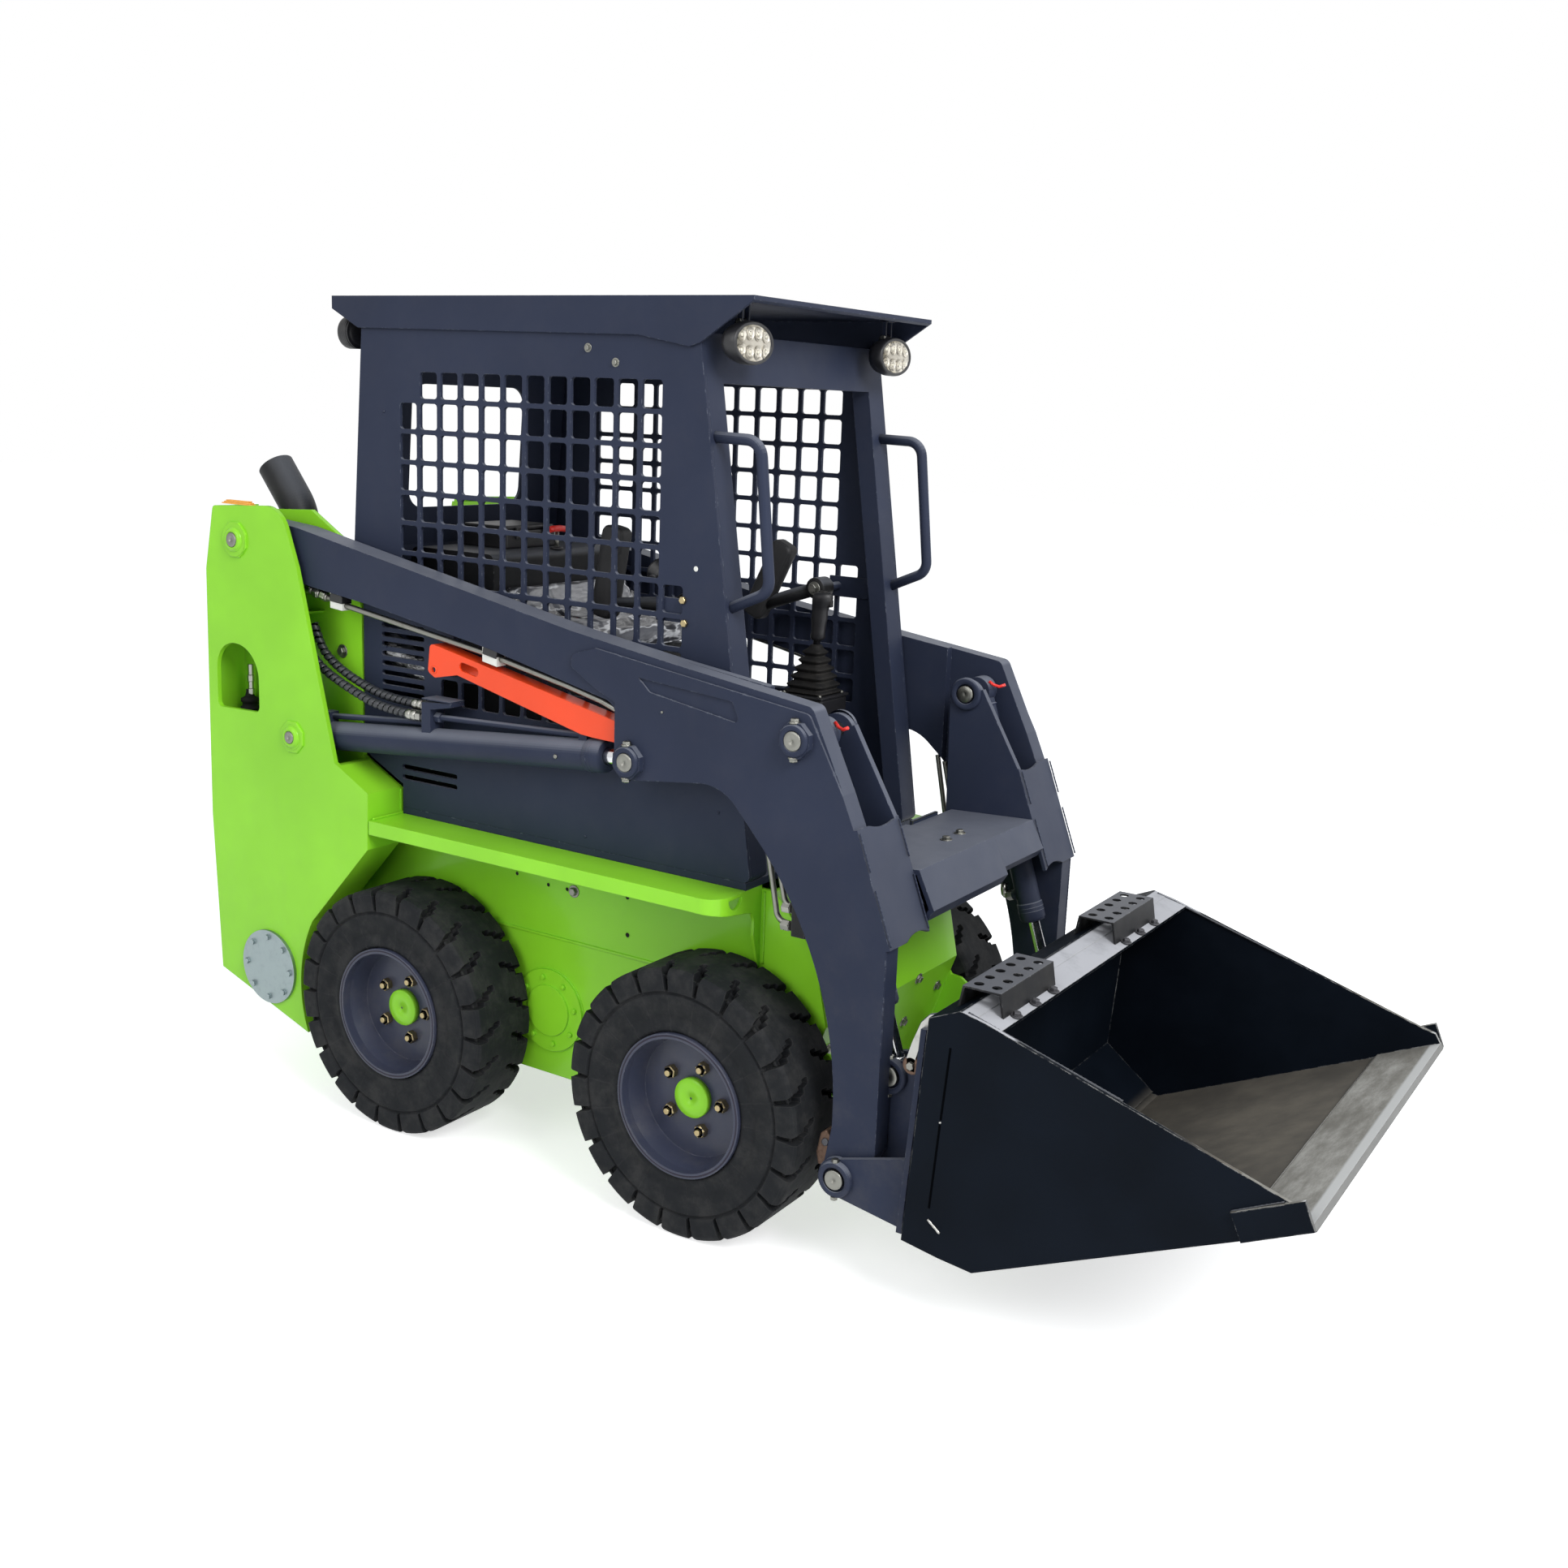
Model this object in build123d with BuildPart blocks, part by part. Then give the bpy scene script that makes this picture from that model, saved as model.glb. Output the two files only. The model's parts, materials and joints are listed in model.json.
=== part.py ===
"""Skid steer loader: a small wheeled loader with a grid-walled cab, two lift arms and a bucket.

Sizes are in millimetres. Profiles are drawn in the machine's own side view, where x runs forward
from the point midway between the axles and z runs up from the ground. Stations across the machine
are distances from its centre plane. The right-hand pieces are drawn and the left-hand ones mirrored.
"""

from build123d import *
import os
from math import cos, degrees, hypot, radians, sin, tan

os.makedirs("parts", exist_ok=True)

# ---------------------------------------------------------------- driving dimensions
WHEELBASE = 860
AXLE_Z = 297
REAR_X = -1081
FRONT_X = 1757
MID_X = -(FRONT_X + REAR_X) / 2  # puts the origin under the middle of the whole machine

PLATE = 12  # towers, coupler ears
SHEET = 8  # cab panels, tub, bucket
PIN_CLEARANCE = 0.4
SEAT_GAP = 0.3

# stations across the machine, each from the one inside it
TUB_HALF = 300
TOWER_IN = TUB_HALF + 50
TOWER_OUT = TOWER_IN + 115
CAB_HALF = TOWER_IN + 11
ARM_OUT = TOWER_OUT - 20
LEG_IN = ARM_OUT - 49
BEAM_IN = TOWER_IN + 25
EAR_OUT = TUB_HALF - 2
EAR_IN = EAR_OUT - 15
LIFT_Y = (ARM_OUT + BEAM_IN) / 2
TILT_Y = LEG_IN - 41
TYRE_WIDTH = 178
TYRE_FACE = TUB_HALF + 17 + TYRE_WIDTH
BUCKET_HALF = TYRE_FACE + 5

# wheels
TYRE_R = AXLE_Z
LUGS_PER_SIDE = 22
LUG_FOOT_R = 250
LUG_RELIEF = 5
GROOVE_WIDTH = 24
GROOVE_DEPTH = 18
GROOVE_REACH = 66
RIM_R = 158
RIM_BORE_R = 146
DISC_RECESS = 66
HUB_R = 60
SPINDLE_R = 30
HOUSING_R = 48
CAP_R = 43
STUD_CIRCLE_R = 74
STUD_COUNT = 5
NUT_R = 13

# chassis
TUB_BOTTOM = 170
DECK_TOP = 749
DECK_SHEET = 9
DECK_LIP = 34
CAB_BASE = 16
TOWER_RIM = 10

# lift arms
ARM_PIVOT = (-965, 1378)
LIFT_BASE = (-773, 915)
LIFT_EYE = (248, 1004)
TILT_TOP = (663, 1109)
TILT_EYE = (880, 450)
BUCKET_PIVOT = (806, 234)
ARM_PIN_R = 22
LIFT_PIN_R = 18
TILT_PIN_R = 17
BUCKET_PIN_R = 20

# cylinders
LIFT_BARREL_R = 35
LIFT_BARREL_LENGTH = 935
LIFT_ROD_R = 18
TILT_BARREL_R = 28
TILT_BARREL_LENGTH = 560
TILT_ROD_R = 15

# coupler and bucket
COUPLER_EAR_OUT = ARM_OUT + 17
COUPLER_MID_OUT = LEG_IN - 5
COUPLER_INNER_OUT = COUPLER_MID_OUT - 60

# cab
FRAME_TOP = 1890
ROOF_TOP = FRAME_TOP + 71
ROOF_SHEET = 6
POST_WIDTH = 66
GRID_PITCH_X = 64
GRID_PITCH_Z = 70
GRID_BAR = 11
CELL_CORNER_R = 8


# ---------------------------------------------------------------- drawing helpers
def side(y):
    """Upright plane at a station: local x forward, local y up, normal towards the right-hand side."""
    return Plane(origin=(MID_X, y, 0), x_dir=(1, 0, 0), z_dir=(0, -1, 0))


def front(x):
    """Upright plane across the machine: local x to the left-hand side, local y up, normal forward."""
    return Plane(origin=(MID_X + x, 0, 0), x_dir=(0, 1, 0), z_dir=(1, 0, 0))


def level(z):
    """Level plane: local x forward, local y to the left-hand side, normal up."""
    return Plane(origin=(MID_X, 0, z), x_dir=(1, 0, 0), z_dir=(0, 0, 1))


def outline(corners):
    """Closed outline through corners given as (x, z) or (x, z, corner radius)."""
    radii = [corner[2] if len(corner) > 2 else 0 for corner in corners]
    FilletPolyline(*[corner[:2] for corner in corners], radius=radii, close=True)


def slab(corners, outer, inner, mode=Mode.ADD):
    """Plate with a side-view outline between two stations on the right-hand side."""
    with BuildSketch(side(-outer)) as profile:
        with BuildLine():
            outline(corners)
        make_face()
    extrude(profile.sketch, amount=inner - outer, mode=mode)


def bar(x, z, outer, inner, radius, mode=Mode.ADD):
    """Round bar or bore across the machine between two stations on the right-hand side."""
    with BuildSketch(side(-outer)) as disc:
        with Locations((x, z)):
            Circle(radius)
    extrude(disc.sketch, amount=inner - outer, mode=mode)


def rod(start, end, radius, mode=Mode.ADD):
    """Round rod between two points given as (x, y, z)."""
    run = Vector(*end) - Vector(*start)
    with BuildSketch(Plane(origin=(MID_X + start[0], start[1], start[2]), z_dir=run)) as disc:
        Circle(radius)
    extrude(disc.sketch, amount=run.length, mode=mode)


def box(x_range, y_range, z_range, mode=Mode.ADD):
    """Square-edged block between two x, two y and two z values."""
    with BuildSketch(level(z_range[0])) as base:
        with Locations(((x_range[0] + x_range[1]) / 2, (y_range[0] + y_range[1]) / 2)):
            Rectangle(x_range[1] - x_range[0], y_range[1] - y_range[0])
    extrude(base.sketch, amount=z_range[1] - z_range[0], mode=mode)


def save(piece, label):
    """Names a finished piece and writes it."""
    piece.part.label = label
    export_step(piece.part, f"parts/{label}.step")


def save_pair(piece, name):
    """Writes a right-hand piece and its mirror image on the left."""
    save(piece, f"{name}_right")
    with BuildPart() as twin:
        mirror(piece.part, about=Plane.XZ)
    save(twin, f"{name}_left")


# ---------------------------------------------------------------- wheels, built about their own axle
def make_tyre():
    """Cushion tyre about +Z, its outer face at z = 0, with staggered grooves between shoulder lugs."""
    shoulder = [  # (radius, depth) from the bead up to the crown
        (RIM_R, -10),
        (RIM_R + 14, -3),
        (LUG_FOOT_R - 4, -LUG_RELIEF),
        (LUG_FOOT_R, 0),
        (TYRE_R - 14, 0),
        (TYRE_R, -14),
    ]
    far_shoulder = [(radius, -TYRE_WIDTH - depth) for radius, depth in reversed(shoulder)]
    with BuildPart() as tyre:
        with BuildSketch(Plane.XZ) as section:
            with BuildLine():
                Polyline(*shoulder, *far_shoulder, close=True)
            make_face()
        revolve(axis=Axis.Z)
        with BuildSketch(Plane.XZ.offset(-GROOVE_WIDTH / 2)) as groove:
            with BuildLine():
                Polyline(
                    (LUG_FOOT_R - 2, 1),
                    (TYRE_R + 3, 1),
                    (TYRE_R + 3, -GROOVE_REACH),
                    (TYRE_R - GROOVE_DEPTH, -GROOVE_REACH),
                    (TYRE_R - GROOVE_DEPTH, -22),
                    (TYRE_R - GROOVE_DEPTH - 10, -12),
                    (LUG_FOOT_R - 2, -12),
                    close=True,
                )
            make_face()
        cutter = extrude(groove.sketch, amount=GROOVE_WIDTH, mode=Mode.PRIVATE)
        with PolarLocations(0, LUGS_PER_SIDE):
            add(cutter, mode=Mode.SUBTRACT)
        with Locations(Location((0, 0, -TYRE_WIDTH), (180, 0, 0))):
            with PolarLocations(0, LUGS_PER_SIDE, start_angle=180 / LUGS_PER_SIDE):
                add(cutter, mode=Mode.SUBTRACT)
    return tyre


def make_rim():
    """Dished wheel about +Z, its outer flange level with the tyre's face."""
    disc = 2 - DISC_RECESS
    with BuildPart() as rim:
        with BuildSketch(Plane.XZ) as section:
            with BuildLine():
                Polyline(
                    (RIM_R, 2),
                    (RIM_R, 2 - TYRE_WIDTH),
                    (RIM_BORE_R, 2 - TYRE_WIDTH),
                    (RIM_BORE_R - 10, disc - 20),
                    (HUB_R, disc - 12),
                    (HUB_R, disc - 30),
                    (SPINDLE_R + PIN_CLEARANCE, disc - 30),
                    (SPINDLE_R + PIN_CLEARANCE, disc - 12),
                    (0, disc - 12),
                    (0, disc),
                    (RIM_BORE_R - 12, disc),
                    (RIM_BORE_R, -20),
                    (RIM_BORE_R, 2),
                    close=True,
                )
            make_face()
        revolve(axis=Axis.Z)
        with BuildSketch(Plane.XY.offset(disc)):
            Circle(CAP_R)
        extrude(amount=14)
        with BuildSketch(Plane.XY.offset(disc)):
            with PolarLocations(STUD_CIRCLE_R, STUD_COUNT):
                RegularPolygon(NUT_R, 6)
        extrude(amount=16)
    return rim


tyre = make_tyre()
rim = make_rim()
WHEEL_PLACES = {
    # name: (x of the axle, side: -1 right, +1 left)
    "front_right": (WHEELBASE / 2, -1),
    "front_left": (WHEELBASE / 2, 1),
    "rear_right": (-WHEELBASE / 2, -1),
    "rear_left": (-WHEELBASE / 2, 1),
}
for place, (axle_x, hand) in WHEEL_PLACES.items():
    seat = Plane(origin=(MID_X + axle_x, hand * TYRE_FACE, AXLE_Z), x_dir=(1, 0, 0), z_dir=(0, hand, 0))
    for shape, name in ((tyre, "tyre"), (rim, "rim")):
        with BuildPart() as placed:
            with Locations(seat.location):
                add(shape.part)
        save(placed, f"{name}_{place}")

# ---------------------------------------------------------------- axle housings
HUB_BACK = TYRE_FACE - (DISC_RECESS - 2) - 30
HUB_FLOOR = TYRE_FACE - (DISC_RECESS - 2) - 12
with BuildPart() as axle_housings:
    for axle_x in (-WHEELBASE / 2, WHEELBASE / 2):
        bar(axle_x, AXLE_Z, TUB_HALF + 12, TUB_HALF, 85)
        bar(axle_x, AXLE_Z, HUB_BACK - 6, TUB_HALF, HOUSING_R)
        bar(axle_x, AXLE_Z, HUB_FLOOR - 1, TUB_HALF, SPINDLE_R)
    mirror(about=Plane.XZ)
save(axle_housings, "axle_housings")

# ---------------------------------------------------------------- chassis tub and rear frame
TUB_REAR = -745
TUB_PROFILE = [
    (TUB_REAR, TUB_BOTTOM),
    (560, TUB_BOTTOM),
    (603, 282),
    (669, 467),
    (636, 621),
    (530, DECK_TOP - DECK_SHEET),
    (TUB_REAR, DECK_TOP - DECK_SHEET),
]
with BuildPart() as tub:
    slab(TUB_PROFILE, TUB_HALF, -TUB_HALF)
    top = tub.faces().sort_by(Axis.Z)[-1]
    offset(amount=-SHEET, openings=top)
    # welded stiffening bead along the wall and the round drive cover between the wheels
    for hand in (-1, 1):
        box((-95 - 440, 340), (hand * TUB_HALF - 3, hand * TUB_HALF + 3), (508, 514))
save(tub, "chassis_tub")

with BuildPart() as drive_covers:
    bar(-90, 330, TUB_HALF + 7, TUB_HALF, 100)
    bar(-90, 330, TUB_HALF + 11, TUB_HALF, 62)
    mirror(about=Plane.XZ)
save(drive_covers, "drive_covers")

REAR_FRAME_REAR = -1038
REAR_FLOOR = TUB_BOTTOM + 30 + SHEET
with BuildPart() as rear_frame:
    box((REAR_FRAME_REAR, TUB_REAR), (-TOWER_IN, TOWER_IN), (TUB_BOTTOM + 30, DECK_TOP))
    box(
        (REAR_FRAME_REAR - 1, TUB_REAR - SHEET),
        (-TOWER_IN + SHEET, TOWER_IN - SHEET),
        (TUB_BOTTOM + 30 + SHEET, DECK_TOP + 1),
        mode=Mode.SUBTRACT,
    )
save(rear_frame, "rear_frame")

# ---------------------------------------------------------------- towers that carry the lift arms
OUTER_TOWER = [  # (x, z) or (x, z, corner radius)
    (-739, 165),
    (-1058, 269),
    (REAR_X, 677),
    (-1077, 1299),
    (-1046, 1456, 12),
    (-803, 1470, 75),
    (-749, 1327),
    (-629, 872),
    (-517, 814),
    (-520, 676),
    (-716, 460),
]


def tower_sketch(plane, inset=0):
    """Outer tower plate: straight edges, with a round wheel arch behind the rear tyre."""
    with BuildSketch(plane) as profile:
        with BuildLine():
            radii = [corner[2] if len(corner) > 2 else 0 for corner in OUTER_TOWER[1:-1]]
            FilletPolyline(*[corner[:2] for corner in OUTER_TOWER], radius=radii)
            ThreePointArc(OUTER_TOWER[-1], (-761, 310), OUTER_TOWER[0])
        make_face()
        if inset:
            offset(amount=-inset, kind=Kind.INTERSECTION, mode=Mode.REPLACE)
    return profile.sketch


TOWER_MOUTH = [(-1000, 1500), (-1006, 1400), (-900, 850), (-640, 866), (-500, 866), (-500, 1500)]
INNER_TOWER = [
    (-745, 200),
    (-1058, 269),
    (REAR_X + 3, 677),
    (-1074, 1299),
    (-1044, 1445),
    (-813, 1457),
    (-690, 1387),
    (-642, 1229),
    (-642, 872),
    (-515, 808),
    (-515, DECK_TOP),
    (-745, DECK_TOP),
]
with BuildPart() as tower:
    extrude(tower_sketch(side(-TOWER_OUT)), amount=-PLATE)
    slab(INNER_TOWER, TOWER_IN + PLATE, TOWER_IN)
    between = side(-TOWER_OUT + PLATE)
    ring = tower_sketch(between) - tower_sketch(between, TOWER_RIM)
    extrude(ring, amount=-(TOWER_OUT - TOWER_IN - 2 * PLATE))
    slab(TOWER_MOUTH, TOWER_OUT - PLATE, TOWER_IN + PLATE, mode=Mode.SUBTRACT)
    bar(*ARM_PIVOT, TOWER_OUT + 6, TOWER_OUT, 42)
    bar(*LIFT_BASE, TOWER_OUT + 6, TOWER_OUT, 32)
    bar(*ARM_PIVOT, TOWER_OUT + 7, TOWER_IN - 1, ARM_PIN_R, mode=Mode.SUBTRACT)
    bar(*LIFT_BASE, TOWER_OUT + 7, TOWER_IN - 1, LIFT_PIN_R, mode=Mode.SUBTRACT)
    slab(
        [(-1046, 956, 14), (-892, 959, 14), (-892, 1122, 84), (-1046, 1122, 66)],
        TOWER_OUT + 1,
        TOWER_OUT - PLATE - 1,
        mode=Mode.SUBTRACT,
    )
    # shelf for the hoses on the inner plate
    slab(
        [(-830, 1211), (-768, 1216), (-777, 1210), (-830, 1205)],
        TOWER_IN + PLATE + 50,
        TOWER_IN + PLATE,
    )
save_pair(tower, "tower")

with BuildPart() as tower_pins:
    bar(*ARM_PIVOT, TOWER_OUT + 10, TOWER_IN - 6, ARM_PIN_R)
    bar(*LIFT_BASE, TOWER_OUT + 10, TOWER_IN - 6, LIFT_PIN_R)
    mirror(about=Plane.XZ)
save(tower_pins, "tower_pins")

with BuildPart() as tower_covers:
    bar(-873, 310, TOWER_OUT + 8, TOWER_OUT, 95)
    with BuildSketch(side(-TOWER_OUT - 8)):
        with Locations((-873, 310)):
            with PolarLocations(78, 8):
                RegularPolygon(8, 6)
    extrude(amount=6)
    mirror(about=Plane.XZ)
save(tower_covers, "tower_covers")

# ---------------------------------------------------------------- decks over the wheels
DECK_FRONT = 496
DECK_CORNER_R = 45
LIP_END = DECK_FRONT - DECK_CORNER_R
RIB_FOOT = 568
RIB_REACH = TUB_HALF + 26
RIB_HOLE = (TUB_HALF + 98, DECK_TOP - DECK_SHEET)  # half-round notch under the deck
with BuildPart() as deck:
    with BuildSketch(level(DECK_TOP - DECK_SHEET)) as deck_plan:
        with BuildLine():
            outline(
                [
                    (-515, -TUB_HALF),
                    (-515, -TOWER_OUT),
                    (DECK_FRONT, -TOWER_OUT, DECK_CORNER_R),
                    (DECK_FRONT, -TUB_HALF),
                ]
            )
        make_face()
    extrude(amount=DECK_SHEET)
    box(
        (-515, LIP_END),
        (-TOWER_OUT, -TOWER_OUT + SHEET),
        (DECK_TOP - DECK_LIP, DECK_TOP - DECK_SHEET),
    )
    # lip bent round the front corner, deepening into a rib down the chassis wall
    with BuildSketch(level(RIB_FOOT)) as bend:
        with BuildLine():
            outline(
                [
                    (LIP_END - SHEET, -TUB_HALF),
                    (LIP_END - SHEET, -TOWER_OUT),
                    (DECK_FRONT, -TOWER_OUT, DECK_CORNER_R),
                    (DECK_FRONT, -TUB_HALF),
                ]
            )
        make_face()
        with BuildLine():
            outline(
                [
                    (LIP_END - 2 * SHEET, -TUB_HALF),
                    (LIP_END - 2 * SHEET, -TOWER_OUT + SHEET),
                    (DECK_FRONT - SHEET, -TOWER_OUT + SHEET, DECK_CORNER_R - SHEET),
                    (DECK_FRONT - SHEET, -TUB_HALF),
                ]
            )
        make_face(mode=Mode.SUBTRACT)
    band = extrude(bend.sketch, amount=DECK_TOP - DECK_SHEET - RIB_FOOT, mode=Mode.PRIVATE)
    with BuildSketch(front(LIP_END - SHEET)) as face:
        with BuildLine():
            outline(
                [
                    (-TOWER_OUT - 1, DECK_TOP),
                    (-TOWER_OUT - 1, DECK_TOP - DECK_LIP),
                    (-RIB_REACH, DECK_TOP - DECK_LIP - 22, 24),
                    (-RIB_REACH, RIB_FOOT + 72),
                    (-TUB_HALF - 6, RIB_FOOT - 1),
                    (-TUB_HALF, RIB_FOOT - 1),
                    (-TUB_HALF, DECK_TOP),
                ]
            )
        make_face()
        with Locations((-RIB_HOLE[0], RIB_HOLE[1])):
            Circle(24, mode=Mode.SUBTRACT)
    window = extrude(face.sketch, amount=DECK_CORNER_R + 2 * SHEET, mode=Mode.PRIVATE)
    add(band & window)
save_pair(deck, "deck")

# ---------------------------------------------------------------- engine bay
HOOD_TOP = 1180
with BuildPart() as engine:
    box((-1030, -765), (-230, 230), (REAR_FLOOR, 900))
save(engine, "engine_block")

with BuildPart() as hood:
    slab(
        [(-1062, 1046), (-1062, HOOD_TOP - 60, 40), (-980, HOOD_TOP, 60), (-672, HOOD_TOP), (-672, 1046)],
        TOWER_IN - SEAT_GAP,
        -TOWER_IN + SEAT_GAP,
    )
    slab(
        [
            (-1054, 1040),
            (-1054, HOOD_TOP - 64, 34),
            (-977, HOOD_TOP - 8, 52),
            (-680, HOOD_TOP - 8),
            (-680, 1040),
        ],
        TOWER_IN - SHEET,
        -TOWER_IN + SHEET,
        mode=Mode.SUBTRACT,
    )
save(hood, "engine_hood")

GATE_REAR = -1064
GATE_DEPTH = 20
GATE_SIDE_GAP = 6
GATE_BOTTOM = 280
GATE_TOP = 1040
HINGE = (-1070, TOWER_IN - 12)
HINGE_PIN_R = 5
HINGE_SLEEVE_R = 8.5
HINGE_HEIGHTS = (420, 860)
HINGE_LENGTH = 80  # between its two brackets, which stay inside the circle the gate's face sweeps
with BuildPart() as tailgate:
    box(
        (GATE_REAR, GATE_REAR + GATE_DEPTH),
        (-TOWER_IN + GATE_SIDE_GAP, TOWER_IN - GATE_SIDE_GAP),
        (GATE_BOTTOM, GATE_TOP),
    )
    box(
        (GATE_REAR + SHEET, GATE_REAR + GATE_DEPTH + 1),
        (-TOWER_IN + GATE_SIDE_GAP + SHEET, TOWER_IN - GATE_SIDE_GAP - SHEET),
        (GATE_BOTTOM + SHEET, GATE_TOP - SHEET),
        mode=Mode.SUBTRACT,
    )
    with BuildSketch(front(GATE_REAR - 1)):
        with Locations((0, 760)):
            with GridLocations(1, 44, 1, 8):
                Rectangle(420, 20)
    extrude(amount=SHEET + 2, mode=Mode.SUBTRACT)
    for z in HINGE_HEIGHTS:
        with Locations((MID_X + HINGE[0], HINGE[1], z)):
            Cylinder(HINGE_SLEEVE_R, HINGE_LENGTH)
            Cylinder(HINGE_PIN_R + PIN_CLEARANCE, HINGE_LENGTH + 2, mode=Mode.SUBTRACT)
save(tailgate, "tailgate")

with BuildPart() as hinges:
    for z in HINGE_HEIGHTS:
        with Locations((MID_X + HINGE[0], HINGE[1], z)):
            Cylinder(HINGE_PIN_R, HINGE_LENGTH + 20)
        for end in (-1, 1):
            middle = z + end * (HINGE_LENGTH / 2 + 6)
            box((HINGE[0] - 7, HINGE[0] + 4), (HINGE[1] - 4, TOWER_IN), (middle - 5, middle + 5))
save(hinges, "tailgate_hinges")

EXHAUST_Y = -290
EXHAUST_R = 44
with BuildPart() as exhaust:
    with BuildLine(side(EXHAUST_Y)) as route:
        FilletPolyline((-930, HOOD_TOP), (-930, 1440), (-1022, 1552), radius=120)
    with BuildSketch(Plane(route.line @ 0, z_dir=route.line % 0)):
        Circle(EXHAUST_R)
        Circle(EXHAUST_R - 4, mode=Mode.SUBTRACT)
    sweep()
save(exhaust, "exhaust_pipe")

# ---------------------------------------------------------------- cab
CAB_FLOOR = DECK_TOP + CAB_BASE
CAB_FRONT_TOP = (340, FRAME_TOP)
CAB_FRONT_FOOT = (506, CAB_FLOOR)
SIDE_PROFILE = [
    (-508, CAB_FLOOR),
    (*CAB_FRONT_FOOT, 16),
    CAB_FRONT_TOP,
    (-632, FRAME_TOP),
    (-665, 1377),
    (-636, 1250),
    (-636, 884),
    (-508, 822),
]


def front_edge(z):
    """x of the cab's raked front edge at a height."""
    rake = (CAB_FRONT_TOP[0] - CAB_FRONT_FOOT[0]) / (CAB_FRONT_TOP[1] - CAB_FRONT_FOOT[1])
    return CAB_FRONT_FOOT[0] + rake * (z - CAB_FRONT_FOOT[1])


def grid_cells():
    """Centres of the square window cells in a cab side."""
    cells = []
    for row in range(11):
        z = FRAME_TOP - 127 - row * GRID_PITCH_Z
        right = front_edge(z) - POST_WIDTH - 30
        left = -514
        if row == 0:
            left = -462
        if z < 1210:
            left = -390
        for column in range(13):
            x = -482 + column * GRID_PITCH_X
            if x - GRID_PITCH_X / 2 >= left - 1 and x + GRID_PITCH_X / 2 <= right:
                cells.append((x, z))
    return cells


with BuildPart() as cab_side:
    slab(SIDE_PROFILE, CAB_HALF, CAB_HALF - SHEET)
    with BuildSketch(side(-CAB_HALF)) as cells:
        with Locations(*grid_cells()):
            RectangleRounded(GRID_PITCH_X - GRID_BAR, GRID_PITCH_Z - GRID_BAR, CELL_CORNER_R)
        for z in (1202 - 23 * i for i in range(8)):
            with Locations((-505, z)):
                SlotOverall(140, 12)
        for z in (865, 840):
            with Locations((-420, z)):
                SlotOverall(180, 12)
    extrude(amount=-SHEET, mode=Mode.SUBTRACT)
save_pair(cab_side, "cab_side")

with BuildPart() as cab_base:
    box((-508, CAB_FRONT_FOOT[0] - 10), (-CAB_HALF, CAB_HALF), (DECK_TOP, CAB_FLOOR))
save(cab_base, "cab_floor")

INSIDE = CAB_HALF - SHEET
with BuildPart() as cab_rear:
    wall = [(-632, FRAME_TOP), (-665, 1377), (-636, 1250), (-636, CAB_FLOOR + 119)]
    slab(wall + [(x + SHEET, z) for x, z in reversed(wall)], INSIDE, -INSIDE)
    with BuildSketch(front(-700)):
        with Locations((0, FRAME_TOP - 272)):
            RectangleRounded(400, 300, 45)
    extrude(amount=120, mode=Mode.SUBTRACT)
save(cab_rear, "cab_rear")

ROOF_SKIRT = [
    (-723, ROOF_TOP),
    (-723, FRAME_TOP + 42),
    (-637, FRAME_TOP - 1),
    (185, FRAME_TOP - 8),
    (317, FRAME_TOP - 30),
    (345, FRAME_TOP - 22),
    (474, FRAME_TOP + 62),
    (474, ROOF_TOP),
]
with BuildPart() as roof:
    slab(ROOF_SKIRT, CAB_HALF + 6, -CAB_HALF - 6)
    slab(
        [
            (-723 + ROOF_SHEET, ROOF_TOP - ROOF_SHEET),
            (-723 + ROOF_SHEET, FRAME_TOP + 35),
            (-690, FRAME_TOP - 90),
            (470, FRAME_TOP - 90),
            (470, FRAME_TOP + 50),
            (474 - 2 * ROOF_SHEET, ROOF_TOP - ROOF_SHEET),
        ],
        CAB_HALF,
        -CAB_HALF,
        mode=Mode.SUBTRACT,
    )
save(roof, "roof")

POST_DEPTH = 46
HEADER_FOOT = FRAME_TOP - 100
with BuildPart() as front_frame:
    slab(
        [
            (front_edge(CAB_FLOOR) - POST_DEPTH, CAB_FLOOR),
            (front_edge(CAB_FLOOR), CAB_FLOOR, 16),
            (front_edge(FRAME_TOP), FRAME_TOP),
            (front_edge(FRAME_TOP) - POST_DEPTH, FRAME_TOP),
        ],
        INSIDE,
        CAB_HALF - POST_WIDTH,
    )
    mirror(about=Plane.XZ)
    slab(
        [
            (front_edge(HEADER_FOOT) - 30, HEADER_FOOT),
            (front_edge(HEADER_FOOT), HEADER_FOOT),
            (front_edge(FRAME_TOP), FRAME_TOP),
            (front_edge(FRAME_TOP) - 30, FRAME_TOP),
        ],
        CAB_HALF - POST_WIDTH,
        -CAB_HALF + POST_WIDTH,
    )
save(front_frame, "front_frame")

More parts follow.
